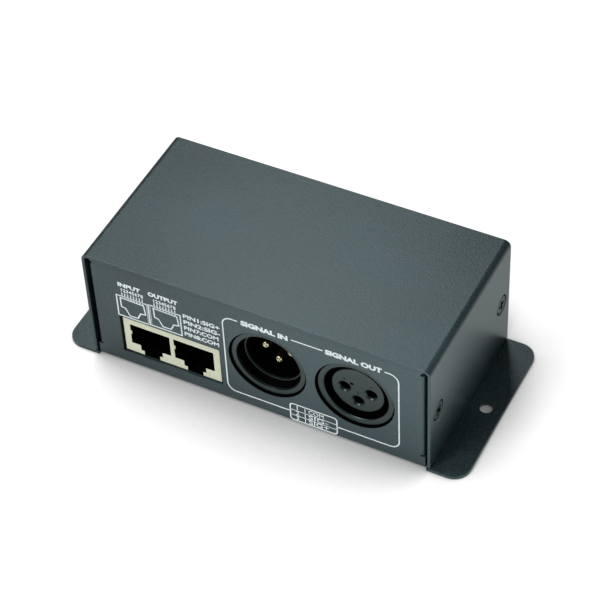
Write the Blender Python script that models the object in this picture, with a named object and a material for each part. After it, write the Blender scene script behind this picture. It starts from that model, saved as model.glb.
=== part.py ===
# DMX decoder: a folded steel case with mounting ears. The front carries a double network
# jack and a male and a female three-pin round connector; the back carries two pluggable
# screw terminals, a ten-way address switch and an indicator lamp.
# Metres, +Z up, the front faces -Y. The origin is under the middle of the whole outline.

import math

import bmesh
import bpy
from mathutils import Vector

MM = 0.001
GAP = 0.3 * MM                        # air between two pieces that touch on the real object
BITE = 0.5 * MM                       # how far a joined solid or a cutter runs into its neighbour
ROUND = 36                            # facets round a large circle
MEDIUM_ROUND = 18                     # facets round a dimple or the capacitor
SMALL_ROUND = 12                      # facets round a screw, a pin or its hole
TINY_ROUND = 6                        # facets round a solder leg's hole or a thin lead
FOLD_STEPS = 4                        # facets round a fold or a corner
EAR_STEPS = 7                         # facets round an ear's corner
SMOOTH_ANGLE = 32                     # degrees; edges flatter than this are shaded smooth

# Case
CASE_WIDTH = 106.0 * MM               # cover, outside
CASE_DEPTH = 53.7 * MM                # cover, front edge to rear edge
CASE_HEIGHT = 40.2 * MM               # floor to the cover's top
COVER_SHEET = 1.0 * MM
COVER_FOLD = 2.0 * MM                 # outside radius
BASE_SHEET = 1.0 * MM
BASE_FOLD = 1.4 * MM                  # outside radius
PANEL_SET_BACK = 0.4 * MM             # front and rear panels, behind the cover's edges
PANEL_TOP = 38.4 * MM
PANEL_FOOT_HALF = 51.3 * MM           # the panels' half width below the notches
NOTCH_BOTTOM = 4.8 * MM
NOTCH_TOP = 5.4 * MM
TAB_HALF = 51.1 * MM                  # outside of the tabs folded back from the panels
TAB_FOLD = 1.2 * MM                   # outside radius
TAB_LENGTH = 9.5 * MM
TAB_TOP = 37.2 * MM
EAR_REACH = 9.9 * MM                  # beyond the cover
EAR_SLOT = 0.4 * MM                   # between an ear and the foot of a panel
EAR_CORNER = 5.0 * MM
EAR_HOLE = 1.9 * MM                   # radius
PLUG_REACH = 10.5 * MM                # terminal plugs, beyond the cover's rear edge

FRONT_Y = -(CASE_DEPTH + PLUG_REACH) / 2
REAR_Y = FRONT_Y + CASE_DEPTH
PANEL_FRONT_Y = FRONT_Y + PANEL_SET_BACK
PANEL_REAR_Y = REAR_Y - PANEL_SET_BACK
MIDDLE_Y = (FRONT_Y + REAR_Y) / 2
SIDE_X = CASE_WIDTH / 2
COVER_FOOT = BASE_SHEET + GAP

# Countersunk cover screws, seated in dimples of the cover's side walls
SCREW_INSET = 5.5 * MM                # from the cover's front and rear edges
SCREW_Z = 20.0 * MM
SCREW_HEAD = 2.75 * MM                # radius
SCREW_RIM = 0.25 * MM
SCREW_EDGE = 0.1 * MM
SCREW_POINT = 0.4 * MM
SCREW_TURN = (35, 50)                 # degrees: the first screw's recess, and from one to the next
SCREW_SHANK = 1.45 * MM               # radius
SCREW_LENGTH = 6.0 * MM
SCREW_SINK = 0.1 * MM                 # head below the cover's surface
DIMPLE_MOUTH = 3.45 * MM              # radius
DIMPLE_HOLE = 1.85 * MM               # radius
DIMPLE_DEPTH = 1.6 * MM
DIMPLE_ROOT = 0.6 * MM                # depth in the sheet where a dimple's bulge begins
TAB_HOLE = 1.8 * MM                   # radius
CROSS_ARM = 1.4 * MM
CROSS_HALF_WIDTH = 0.33 * MM
CROSS_DEPTH = 1.3 * MM
CROSS_TAPER = 0.45                    # size at the recess's bottom, part of its mouth

# Circuit board
BOARD_BOTTOM = 3.6 * MM
BOARD_SHEET = 1.6 * MM
BOARD_TOP = BOARD_BOTTOM + BOARD_SHEET
BOARD_HALF_WIDTH = 48.0 * MM
BOARD_FRONT_Y = PANEL_FRONT_Y + 1.7 * MM
BOARD_REAR_Y = PANEL_REAR_Y - 1.7 * MM
BOARD_CORNER = 1.5 * MM
BOARD_SEAT = BOARD_TOP + GAP          # underside of everything that stands on the board
LEG_HOLE = 0.95 * MM                  # radius of the board's solder holes
LEG_END = BOARD_BOTTOM - 1.0 * MM
FIXING_X = 45.3 * MM
FIXING_Y = (-24.0 * MM, 14.0 * MM)
BOARD_HOLE = 1.5 * MM                 # radius
STANDOFF_FLATS = 5.0 * MM
STANDOFF_SPIGOT = 1.9 * MM            # radius, passes through the base
STANDOFF_BORE = 1.45 * MM             # radius
SPIGOT_LOW = 0.1 * MM                 # the spigot's end above the floor
BASE_HOLE = 2.2 * MM                  # radius
PAN_HEAD = 2.3 * MM                   # radius
PAN_HEIGHT = 1.6 * MM
PAN_SHANK = 1.15 * MM                 # radius
PAN_SHANK_LOW = 0.8 * MM
PAN_DOME = ((1.0, 0.0), (1.0, 0.5), (0.8, 0.88), (0.45, 1.0))   # parts of radius and height

# Double network jack
JACK_X = -27.0 * MM
JACK_FACE_Y = FRONT_Y + 1.0 * MM
JACK_WIDTH = 30.9 * MM
JACK_HEIGHT = 13.4 * MM
JACK_DEPTH = 21.0 * MM
JACK_WINDOW_HALF = 16.1 * MM
JACK_WINDOW_Z = (5.1 * MM, 19.4 * MM)
PORT_PITCH = 14.0 * MM
PORT_WIDTH = 12.7 * MM
PORT_Z = (3.4 * MM, 11.0 * MM)        # above the housing's underside
PORT_DEPTH = 14.5 * MM
LATCH_WIDE = 7.0 * MM
LATCH_STEP_Z = 1.4 * MM
LATCH_NARROW = 5.0 * MM
JACK_CHAMFER = 0.5 * MM               # top right corner
GUIDE_RIDGE = (0.45 * MM, 8.0 * MM)   # a port's left wall: how far the ridge stands out, its length
GUIDE_Z = (7.1 * MM, 8.4 * MM)        # above the housing's underside
CONTACTS = 8
CONTACT_PITCH = 1.02 * MM
CONTACT_WIRE = 0.45 * MM
CONTACT_REAR = (12.8 * MM, 7.0 * MM)  # depth and height of a wire's ends
CONTACT_FRONT = (3.6 * MM, 10.45 * MM)
CONTACT_LEVEL = 1.2 * MM              # length of its level front end
COMB_THICK = 1.7 * MM

# Round three-pin connectors
ROUND_X = {"male": 3.8 * MM, "female": 30.3 * MM}
ROUND_Z = 20.1 * MM
ROUND_FACE_Y = FRONT_Y + 1.1 * MM
ROUND_WINDOW = 12.0 * MM              # radius of the holes in the panel
NOSE = 11.5 * MM                      # radius
NOSE_EDGE = 0.3 * MM
FLANGE_HALF_WIDTH = 12.6 * MM
FLANGE_TOP = 12.8 * MM                # above the connector's axis
FLANGE_Y = (0.6 * MM, 4.0 * MM)       # behind the nose's face
SHELL_HALF_WIDTH = 11.3 * MM
SHELL_TOP = 11.8 * MM
SHELL_REAR = 20.5 * MM
SHELL_CORNER = 3.0 * MM
PIN_OFFSETS = ((-4.0 * MM, 0.0), (4.0 * MM, 0.0), (0.0, -4.1 * MM))
PIN = 1.2 * MM                        # radius
PIN_TIP = 5.8 * MM                    # behind the nose's face
PIN_TIP_FORM = ((0.35, 0.3), (0.1, 0.55), (0.0, 0.7), (0.1, 0.95), (0.4, 1.12))   # mm behind, radius
PIN_TIP_LENGTH = 0.9 * MM
PIN_HOLE = 1.5 * MM                   # radius
LEG = 0.5 * MM                        # radius of a solder leg
LEG_BEND = 1.0 * MM
LEG_BACK = 22.4 * MM                  # behind the nose's face
LEG_NECK = (0.8 * MM, 0.4 * MM)       # a contact narrows to its leg between these, ahead of the bend
MOUTH = 9.85 * MM                     # radius of the opening in the nose
MOUTH_EDGE = 0.25 * MM
MOUTH_TAPER = 0.5 * MM
CUP = 8.5 * MM                        # radius
CUP_EDGE = 0.2 * MM
CUP_RIM_Y = 3.0 * MM
CUP_REAR = 16.5 * MM
GROOVE = 9.7 * MM                     # outer radius of the female connector's groove
GROOVE_REAR = 13.0 * MM
INSERT = 7.93 * MM                    # radius
INSERT_FACE = 1.4 * MM
INSERT_EDGE = 0.3 * MM
INSERT_BASE = 8.1 * MM                # radius
INSERT_FLANGE = 0.7 * MM
INSERT_MARK = ((-2.3 * MM, 1.6 * MM), (-1.2 * MM, 2.5 * MM))   # small recess beside the left socket
INSERT_MARK_DEPTH = 1.2 * MM
SOCKET_HOLE = 1.65 * MM               # radius
SOCKET_MOUTH = 2.0 * MM               # radius
SOCKET = 1.4 * MM                     # radius of the contact sleeve
SOCKET_FACE = 4.2 * MM
SOCKET_BORE = (7.5 * MM, 8.0 * MM)    # depth of the bore's side and of its bottom
SOCKET_BOTTOM = 0.6 * MM              # radius
SOCKET_TUBE = 8.5 * MM

# Pluggable screw terminals
TERMINALS = {"power": (35.5 * MM, 2), "output": (11.5 * MM, 4)}
PITCH = 5.08 * MM
HEADER_FACE_Y = PANEL_REAR_Y - 0.2 * MM
HEADER_MARGIN = 1.0 * MM              # beside the outer poles
HEADER_WALL = 0.9 * MM
HEADER_HEIGHT = 8.4 * MM
HEADER_DEPTH = 11.5 * MM
HEADER_CAVITY = 8.3 * MM
HEADER_LEG_Y = 1.2 * MM               # from the header's back to its legs
CONTACT_BLADE = 1.0 * MM
BLADE_REACH = 6.8 * MM
WINDOW_MARGIN = 0.4 * MM
PLUG_START = 0.5 * MM                 # behind the header's mouth
PLUG_Z = (-1.5 * MM, 9.9 * MM)
NOSE_LENGTH = 8.0 * MM
PLUG_SLOPE = 1.6 * MM                 # chamfer of the top rear edge
POLE_GROOVE = (0.2 * MM, 0.4 * MM)    # half width and depth of the grooves between poles
CAGE_ROOM_HALF = 2.2 * MM
CAGE_ROOM_Y = (3.2 * MM, 9.8 * MM)
CAGE_ROOM_Z = (-0.7 * MM, 6.4 * MM)
SCREW_WELL = 2.05 * MM                # radius
SCREW_WELL_Z = 7.3 * MM
SCREW_NECK = 1.4 * MM                 # radius
WIRE_HALF_WIDTH = 1.6 * MM
WIRE_Z = (0.1 * MM, 2.9 * MM)
WIRE_FLARE = 0.35 * MM
STRIP_Z = (2.7 * MM, 3.4 * MM)
STRIP_HALF_WIDTH = 1.0 * MM
CAGE_HALF_WIDTH = 1.95 * MM
CAGE_DEPTH = 4.6 * MM
CAGE_HEIGHT = 5.0 * MM
CAGE_REST_Z = -0.4 * MM               # underside with the clamp open
CAGE_WALL = 0.6 * MM
CAGE_FLOOR = 0.8 * MM
CLAMP_HEAD = 1.75 * MM                # radius
CLAMP_HEAD_Z = (7.6 * MM, 9.3 * MM)
CLAMP_HEAD_EDGE = 0.3 * MM
CLAMP_SHANK = 1.1 * MM                # radius
CLAMP_TIP_Z = 3.7 * MM
SLOT_HALF_WIDTH = 0.3 * MM
SLOT_DEPTH = 0.8 * MM

# Address switch
SWITCH_X = -19.0 * MM
SWITCH_WAYS = 10
SWITCH_PITCH = 2.54 * MM
SWITCH_HALF_WIDTH = 13.6 * MM
SWITCH_HALF_HEIGHT = 4.8 * MM
SWITCH_DEPTH = 6.2 * MM
SWITCH_FACE_Y = HEADER_FACE_Y
SWITCH_Z = BOARD_SEAT + SWITCH_HALF_HEIGHT
TRACK_HALF_WIDTH = 0.6 * MM
TRACK_HALF_HEIGHT = 1.75 * MM
TRACK_DEPTH = 0.8 * MM
ROOM_HALF_WIDTH = 0.9 * MM
ROOM_HALF_HEIGHT = 2.15 * MM
ROOM_DEPTH = 2.7 * MM
KNOB_HALF_WIDTH = 0.42 * MM
KNOB_HALF_HEIGHT = 0.6 * MM
KNOB_OUT = 0.35 * MM
FOOT_HALF_WIDTH = 0.62 * MM
FOOT_HALF_HEIGHT = 0.95 * MM
FOOT_DEPTH = (2.4 * MM, 1.05 * MM)    # behind the switch's face
SLIDER_REST_Z = -0.9 * MM             # below the switch's middle, the OFF end of its travel

# Indicator lamp
LAMP_X = -39.5 * MM
LAMP_LENS = 1.5 * MM                  # radius
LAMP_OUT = 0.9 * MM                   # beyond the rear panel
LAMP_LENGTH = 5.0 * MM
LAMP_FLANGE = 1.9 * MM                # radius
LAMP_FLANGE_LENGTH = 0.8 * MM
LAMP_HOLE = 1.85 * MM                 # radius
LAMP_LEAD = 0.25 * MM                 # radius
LAMP_LEAD_HALF_PITCH = 1.27 * MM
LAMP_STRAIGHT = 1.7 * MM              # lead, from the lamp's back to its bend
LAMP_BEND = 0.5 * MM                  # radius
LAMP_LEG_Y = PANEL_REAR_Y + LAMP_OUT - LAMP_LENGTH - LAMP_STRAIGHT - LAMP_BEND

# Parts on the board
CAPACITOR = (38.0 * MM, 0.0)
CAPACITOR_RADIUS = 5.0 * MM
CAPACITOR_HEIGHT = 16.0 * MM
CAPACITOR_EDGE = 0.5 * MM
CAPACITOR_BEAD = (1.6 * MM, 2.1 * MM, 2.6 * MM)   # heights of the rolled groove
CAPACITOR_LEG = (2.5 * MM, 0.35 * MM) # offset and radius
CHIP = (-22.0 * MM, -1.0 * MM)
CHIP_HALF = (6.4 * MM, 3.75 * MM)
CHIP_HEIGHT = 2.3 * MM
CHIP_CLEAR = 0.2 * MM                 # under the moulding
CHIP_LEGS = 8
CHIP_LEG_PITCH = 1.27 * MM
CHIP_LEG_HALF_WIDTH = 0.2 * MM
CHIP_WING = ((-0.3, 1.3), (0.7, 1.3), (0.9, 0.3), (1.6, 0.3), (1.6, 0.0), (0.6, 0.0), (0.4, 1.0),
             (-0.3, 1.0))             # a leg from its end, mm beyond the moulding and above the board
TRANSISTOR_X = (-1.0 * MM, 11.5 * MM, 24.0 * MM)
TRANSISTOR_Y = 2.0 * MM
TRANSISTOR_BLOCK = (5.0 * MM, 1.6 * MM)           # half width and half depth
TRANSISTOR_Z = (3.5 * MM, 12.5 * MM)
TRANSISTOR_LEGS = (-2.54 * MM, 0.0, 2.54 * MM)
TRANSISTOR_LEG = (0.4 * MM, 0.25 * MM)            # half width and half depth
TAB_HALF_WIDTH = 4.8 * MM
TAB_Y = (1.1 * MM, 2.4 * MM)
TAB_ROOT = 0.2 * MM                   # above the block's underside
TAB_END_Z = 19.0 * MM
TAB_EYE = (16.0 * MM, 1.8 * MM)       # height and radius


def finish(name, colour, roughness, metallic=0.0):
    # One Principled material for a sub-part
    material = bpy.data.materials.new(name)
    material.use_nodes = True
    shader = material.node_tree.nodes["Principled BSDF"]
    shader.inputs["Base Color"].default_value = (*colour, 1.0)
    shader.inputs["Roughness"].default_value = roughness
    shader.inputs["Metallic"].default_value = metallic
    return material


def arc(centre, radius, start, end, steps=FOLD_STEPS):
    # Points along an arc, angles in degrees, both ends included
    turns = (math.radians(start + (end - start) * i / steps) for i in range(steps + 1))
    return [(centre[0] + radius * math.cos(a), centre[1] + radius * math.sin(a)) for a in turns]


def rectangle(low, high):
    return [(low[0], low[1]), (high[0], low[1]), (high[0], high[1]), (low[0], high[1])]


def round_rectangle(low, high, radius, steps=FOLD_STEPS):
    corners = ((low[0], low[1], 180), (high[0], low[1], 270), (high[0], high[1], 0), (low[0], high[1], 90))
    outline = []
    for x, y, start in corners:
        centre = (x + radius if x == low[0] else x - radius, y + radius if y == low[1] else y - radius)
        outline += arc(centre, radius, start, start + 90, steps)
    return outline


def circle(centre, radius, segments=SMALL_ROUND):
    return arc(centre, radius, 0, 360, segments)[:-1]


def across(axis, point, along):
    # A drawn point and a distance along the axis, as a point in space
    u, v = point
    return {"X": (along, u, v), "Y": (u, along, v), "Z": (u, v, along)}[axis]


def prism(outline, low, high, axis="Z", end_outline=None):
    # The outline carried from low to high along the axis, or lofted to another of as many points
    bm = bmesh.new()
    start = [bm.verts.new(across(axis, p, low)) for p in outline]
    end = [bm.verts.new(across(axis, p, high)) for p in (end_outline or outline)]
    bm.faces.new(start)
    bm.faces.new(end)
    for i, corner in enumerate(start):
        after = (i + 1) % len(start)
        bm.faces.new((corner, start[after], end[after], end[i]))
    bmesh.ops.recalc_face_normals(bm, faces=bm.faces)
    return bm


def box(low, high):
    return prism(rectangle(low[:2], high[:2]), low[2], high[2])


def rod(stations, segments=SMALL_ROUND):
    # Rings swept along a path in the YZ plane: (y, z, heading in degrees, radius); heading 0 is +Y.
    # The first and last stations are closed by a flat end.
    bm = bmesh.new()
    rings = []
    for y, z, heading, radius in stations:
        turn = math.radians(heading)
        up = Vector((0.0, -math.sin(turn), math.cos(turn)))
        ring = []
        for x_part, up_part in circle((0.0, 0.0), radius, segments):
            ring.append(bm.verts.new(Vector((x_part, y, z)) + up * up_part))
        rings.append(ring)
    bm.faces.new(rings[0])
    bm.faces.new(rings[-1])
    for ring, following in zip(rings, rings[1:]):
        for i, corner in enumerate(ring):
            after = (i + 1) % segments
            bm.faces.new((corner, ring[after], following[after], following[i]))
    bmesh.ops.recalc_face_normals(bm, faces=bm.faces)
    return bm


def turned(profile, axis="Y", segments=ROUND, centre=(0.0, 0.0)):
    # A lathe form: (radius, distance along the axis) from end to end, each end closed flat
    bm = bmesh.new()
    rings = []
    for radius, along in profile:
        rings.append([bm.verts.new(across(axis, p, along)) for p in circle(centre, radius, segments)])
    bm.faces.new(rings[0])
    bm.faces.new(rings[-1])
    for ring, following in zip(rings, rings[1:]):
        for i, corner in enumerate(ring):
            after = (i + 1) % segments
            bm.faces.new((corner, ring[after], following[after], following[i]))
    bmesh.ops.recalc_face_normals(bm, faces=bm.faces)
    return bm


def moved(bm, offset):
    bmesh.ops.translate(bm, verts=bm.verts, vec=offset)
    return bm


def mesh_of(name, solids):
    # Several solids in one mesh; they stay apart until a union joins them
    gathered = bmesh.new()
    for solid in solids:
        passing = bpy.data.meshes.new("passing")
        solid.to_mesh(passing)
        solid.free()
        gathered.from_mesh(passing)
        bpy.data.meshes.remove(passing)
    mesh = bpy.data.meshes.new(name)
    gathered.to_mesh(mesh)
    gathered.free()
    return mesh


def piece(name, solids, material, place=(0.0, 0.0, 0.0), smooth=False):
    mesh = mesh_of(name, solids)
    mesh.materials.append(material)
    if smooth:
        mesh.shade_smooth()
        mesh.set_sharp_from_angle(angle=math.radians(SMOOTH_ANGLE))
    made = bpy.data.objects.new(name, mesh)
    made.location = place
    bpy.context.scene.collection.objects.link(made)
    return made


def boolean(body, operation, solids):
    # Join or cut a set of solids drawn in the body's own frame
    tool = bpy.data.objects.new(body.name + "_tool", mesh_of(body.name + "_tool", solids))
    tool.location = body.location
    tool.rotation_euler = body.rotation_euler
    tool.hide_render = True
    tool.display_type = "WIRE"
    bpy.context.scene.collection.objects.link(tool)
    change = body.modifiers.new(operation.lower(), "BOOLEAN")
    change.operation = operation
    change.solver = "EXACT"
    change.object = tool


def join(body, solids):
    boolean(body, "UNION", solids)


def cut(body, solids):
    boolean(body, "DIFFERENCE", solids)


def panel_stations():
    # The base's underside and the outsides of its panels, from one panel's top to the other's
    front = [(PANEL_FRONT_Y, z) for z in (PANEL_TOP, TAB_TOP, NOTCH_TOP, NOTCH_BOTTOM)]
    front += arc((PANEL_FRONT_Y + BASE_FOLD, BASE_FOLD), BASE_FOLD, 180, 270)
    rear = [(PANEL_FRONT_Y + PANEL_REAR_Y - y, z) for y, z in reversed(front)]
    return front, rear


def base_surface():
    # One skin: the underside, both panels, their four tabs and the two ears
    bm = bmesh.new()
    front, rear = panel_stations()
    stations = front + rear
    foot = range(3, len(stations) - 3)
    columns = (-PANEL_FOOT_HALF, -TAB_HALF + TAB_FOLD, TAB_HALF - TAB_FOLD, PANEL_FOOT_HALF)
    grid = {}
    for row, (y, z) in enumerate(stations):
        for column, x in enumerate(columns):
            if column in (1, 2) or row in foot:
                grid[row, column] = bm.verts.new((x, y, z))
    for row in range(len(stations) - 1):
        for column in range(3):
            corners = [(row, column), (row, column + 1), (row + 1, column + 1), (row + 1, column)]
            if all(corner in grid for corner in corners):
                bm.faces.new([grid[corner] for corner in corners])
    for side, column in ((-1, 1), (1, 2)):
        for panel_y, inward, rows in ((PANEL_FRONT_Y, 1, (1, 2)),
                                      (PANEL_REAR_Y, -1, (len(stations) - 2, len(stations) - 3))):
            fold = arc((TAB_HALF - TAB_FOLD, TAB_FOLD), TAB_FOLD, 270, 360)[1:] + [(TAB_HALF, TAB_LENGTH)]
            edge = [grid[row, column] for row in rows]
            for x, depth in fold:
                following = [bm.verts.new((side * x, panel_y + inward * depth, v.co.z)) for v in edge]
                bm.faces.new((edge[0], following[0], following[1], edge[1]))
                edge = following
    ear_outline(bm, grid[len(front) - 1, 3], grid[len(front), 3], 1)
    ear_outline(bm, grid[len(front) - 1, 0], grid[len(front), 0], -1)
    bmesh.ops.recalc_face_normals(bm, faces=bm.faces)
    bm.faces.ensure_lookup_table()
    floor = max(bm.faces, key=lambda face: face.calc_area())
    if floor.normal.z > 0:
        bmesh.ops.reverse_faces(bm, faces=bm.faces)
    return bm


def ear_outline(bm, root_front, root_rear, side):
    # A flat ear with round outer corners, on the underside's edge between its two root points.
    # Its front and rear edges are flush with the cover's.
    inner = PANEL_FOOT_HALF + EAR_SLOT
    outer = SIDE_X + EAR_REACH
    drawn = [(inner, root_front.co.y), (inner, FRONT_Y)]
    drawn += arc((outer - EAR_CORNER, FRONT_Y + EAR_CORNER), EAR_CORNER, 270, 360, EAR_STEPS)
    drawn += arc((outer - EAR_CORNER, REAR_Y - EAR_CORNER), EAR_CORNER, 0, 90, EAR_STEPS)
    drawn += [(inner, REAR_Y), (inner, root_rear.co.y)]
    corners = [root_front] + [bm.verts.new((side * x, y, 0.0)) for x, y in drawn] + [root_rear]
    bm.faces.new(corners)


def base_cutouts():
    through_front = (PANEL_FRONT_Y - BITE, PANEL_FRONT_Y + BASE_SHEET + BITE)
    through_rear = (PANEL_REAR_Y - BASE_SHEET - BITE, PANEL_REAR_Y + BITE)
    through_floor = (-BITE, BASE_SHEET + BITE)
    holes = [prism(rectangle((JACK_X - JACK_WINDOW_HALF, JACK_WINDOW_Z[0]),
                             (JACK_X + JACK_WINDOW_HALF, JACK_WINDOW_Z[1])), *through_front, "Y")]
    for x in ROUND_X.values():
        holes.append(prism(circle((x, ROUND_Z), ROUND_WINDOW, ROUND), *through_front, "Y"))
    for x, poles in TERMINALS.values():
        half = poles * PITCH / 2 + HEADER_MARGIN + WINDOW_MARGIN
        holes.append(prism(rectangle((x - half, BOARD_SEAT - WINDOW_MARGIN),
                                     (x + half, BOARD_SEAT + HEADER_HEIGHT + WINDOW_MARGIN)),
                           *through_rear, "Y"))
    half = SWITCH_HALF_WIDTH + WINDOW_MARGIN
    height = SWITCH_HALF_HEIGHT + WINDOW_MARGIN
    holes.append(prism(rectangle((SWITCH_X - half, SWITCH_Z - height), (SWITCH_X + half, SWITCH_Z + height)),
                       *through_rear, "Y"))
    holes.append(prism(circle((LAMP_X, SWITCH_Z), LAMP_HOLE), *through_rear, "Y"))
    for side in (-1, 1):
        ear_x = side * (SIDE_X + EAR_REACH / 2)
        holes.append(prism(circle((ear_x, MIDDLE_Y), EAR_HOLE, MEDIUM_ROUND), *through_floor))
        for y in FIXING_Y:
            holes.append(prism(circle((side * FIXING_X, y), BASE_HOLE), *through_floor))
        for y in (FRONT_Y + SCREW_INSET, REAR_Y - SCREW_INSET):
            span = sorted((side * (TAB_HALF + BITE), side * (TAB_HALF - BASE_SHEET - BITE)))
            holes.append(prism(circle((y, SCREW_Z), TAB_HOLE), *span, "X"))
    return holes


def base_tray(material):
    tray = piece("base_tray", [base_surface()], material)
    sheet = tray.modifiers.new("sheet", "SOLIDIFY")
    sheet.thickness = BASE_SHEET
    sheet.offset = -1.0
    sheet.use_even_offset = True
    cut(tray, base_cutouts())
    return tray


def cover_profile():
    # Down one side, over the top and down the other: outside first, then back along the inside
    inner_fold = COVER_FOLD - COVER_SHEET
    fold_x = SIDE_X - COVER_FOLD
    fold_z = CASE_HEIGHT - COVER_FOLD
    outside = [(SIDE_X, COVER_FOOT)] + arc((fold_x, fold_z), COVER_FOLD, 0, 90)
    outside += arc((-fold_x, fold_z), COVER_FOLD, 90, 180) + [(-SIDE_X, COVER_FOOT)]
    inside = [(-SIDE_X + COVER_SHEET, COVER_FOOT)] + arc((-fold_x, fold_z), inner_fold, 180, 90)
    inside += arc((fold_x, fold_z), inner_fold, 90, 0) + [(SIDE_X - COVER_SHEET, COVER_FOOT)]
    return outside + inside


def cover_screw_places():
    for side in (-1, 1):
        for y in (FRONT_Y + SCREW_INSET, REAR_Y - SCREW_INSET):
            yield side, y


def dimple_profile(side, radius_at_mouth, start, end):
    # A cone at 45 degrees, narrowing inwards, between two depths below the cover's side
    return [(radius_at_mouth - depth, side * (SIDE_X - depth)) for depth in (start, end)]


def cover(material):
    shell = piece("cover", [prism(cover_profile(), FRONT_Y, REAR_Y, "Y")], material, smooth=True)
    outer_cone = DIMPLE_MOUTH + COVER_SHEET * math.sqrt(2)
    bulges = []
    sinks = []
    for side, y in cover_screw_places():
        bulge = dimple_profile(side, outer_cone, DIMPLE_ROOT, DIMPLE_DEPTH)
        bulges.append(turned(bulge, "X", MEDIUM_ROUND, (y, SCREW_Z)))
        sink = dimple_profile(side, DIMPLE_MOUTH, -BITE, DIMPLE_MOUTH - DIMPLE_HOLE)
        sink.append((DIMPLE_HOLE, side * (SIDE_X - DIMPLE_DEPTH - BITE)))
        sinks.append(turned(sink, "X", MEDIUM_ROUND, (y, SCREW_Z)))
    join(shell, bulges)
    cut(shell, sinks)
    return shell


def cross_outline(arm, half_width):
    quarter = [(arm, -half_width), (arm, half_width), (half_width, half_width)]
    outline = []
    for _ in range(4):
        outline += quarter
        quarter = [(-v, u) for u, v in quarter]
    return outline


def cross_recess(axis, top):
    # A driver recess that narrows towards its bottom, cut down from a screw's face
    wide = cross_outline(CROSS_ARM, CROSS_HALF_WIDTH)
    narrow = cross_outline(CROSS_ARM * CROSS_TAPER, CROSS_HALF_WIDTH * CROSS_TAPER)
    return prism(wide, top + 0.2 * BITE, top - CROSS_DEPTH, axis, narrow)


def cover_screws(material):
    # Countersunk heads; each screw's own frame has its head's face at X = 0, the shank inwards
    cone = SCREW_HEAD - SCREW_SHANK
    profile = [(SCREW_HEAD - SCREW_EDGE, 0.0), (SCREW_HEAD, -SCREW_EDGE), (SCREW_HEAD, -SCREW_RIM),
               (SCREW_SHANK, -SCREW_RIM - cone), (SCREW_SHANK, SCREW_POINT - SCREW_LENGTH),
               (SCREW_SHANK - SCREW_POINT, -SCREW_LENGTH)]
    first, step = SCREW_TURN
    for index, (side, y) in enumerate(cover_screw_places()):
        face_x = side * (SIDE_X - SCREW_SINK)
        screw = piece(f"cover_screw_{index + 1}", [turned(profile, "X", SMALL_ROUND)], material,
                      (face_x, y, SCREW_Z), smooth=True)
        screw.rotation_euler = (math.radians(first + step * index), 0.0, 0.0 if side > 0 else math.pi)
        cut(screw, [cross_recess("X", 0.0)])


def leg_places():
    # Every solder leg that passes through the board
    for x in ROUND_X.values():
        for offset, _ in PIN_OFFSETS:
            yield x + offset, ROUND_FACE_Y + LEG_BACK
    for x, poles in TERMINALS.values():
        for pole in range(poles):
            yield x + pole_x(pole, poles), HEADER_FACE_Y - HEADER_DEPTH + HEADER_LEG_Y
    for side in (-1, 1):
        yield LAMP_X + side * LAMP_LEAD_HALF_PITCH, LAMP_LEG_Y
        yield CAPACITOR[0] + side * CAPACITOR_LEG[0], CAPACITOR[1]
    for x in TRANSISTOR_X:
        for offset in TRANSISTOR_LEGS:
            yield x + offset, TRANSISTOR_Y


def circuit_board(material):
    outline = round_rectangle((-BOARD_HALF_WIDTH, BOARD_FRONT_Y), (BOARD_HALF_WIDTH, BOARD_REAR_Y),
                              BOARD_CORNER)
    board = piece("circuit_board", [prism(outline, BOARD_BOTTOM, BOARD_TOP)], material)
    span = (BOARD_BOTTOM - BITE, BOARD_TOP + BITE)
    holes = [prism(circle((side * FIXING_X, y), BOARD_HOLE), *span) for side in (-1, 1) for y in FIXING_Y]
    holes += [prism(circle(place, LEG_HOLE, TINY_ROUND), *span) for place in leg_places()]
    cut(board, holes)


def board_fixings(steel, brass):
    # Hexagonal standoffs pressed into the base, and a pan-head screw down into each
    across_corners = STANDOFF_FLATS / math.sqrt(3)
    low = BASE_SHEET + GAP
    high = BOARD_BOTTOM - GAP
    head_z = BOARD_TOP + GAP
    head = [(PAN_HEAD * across_part, head_z + PAN_HEIGHT * up_part) for across_part, up_part in PAN_DOME]
    shank = [(PAN_SHANK, PAN_SHANK_LOW), (PAN_SHANK, head_z)]
    places = [(side * FIXING_X, y, 0.0) for y in FIXING_Y for side in (-1, 1)]
    for index, place in enumerate(places):
        hexagon = prism(circle((0.0, 0.0), across_corners, 6), low, high)
        standoff = piece(f"board_standoff_{index + 1}", [hexagon], brass, place)
        spigot = [(STANDOFF_SPIGOT, SPIGOT_LOW), (STANDOFF_SPIGOT, low + BITE)]
        join(standoff, [turned(spigot, "Z", SMALL_ROUND)])
        cut(standoff, [turned([(STANDOFF_BORE, -BITE), (STANDOFF_BORE, high + BITE)], "Z", SMALL_ROUND)])
        screw = piece(f"board_screw_{index + 1}", [turned(shank + head, "Z", SMALL_ROUND)], steel, place,
                      smooth=True)
        cut(screw, [cross_recess("Z", head_z + PAN_HEIGHT)])


def port_outline(x):
    # A port seen from the front: the plug's room above, the stepped latch channel below
    half = PORT_WIDTH / 2
    wide = LATCH_WIDE / 2
    narrow = LATCH_NARROW / 2
    right = [(narrow, -BITE), (narrow, LATCH_STEP_Z), (wide, LATCH_STEP_Z), (wide, PORT_Z[0]),
             (half, PORT_Z[0]), (half, PORT_Z[1])]
    return [(x + u, v) for u, v in right] + [(x - u, v) for u, v in reversed(right)]


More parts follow.
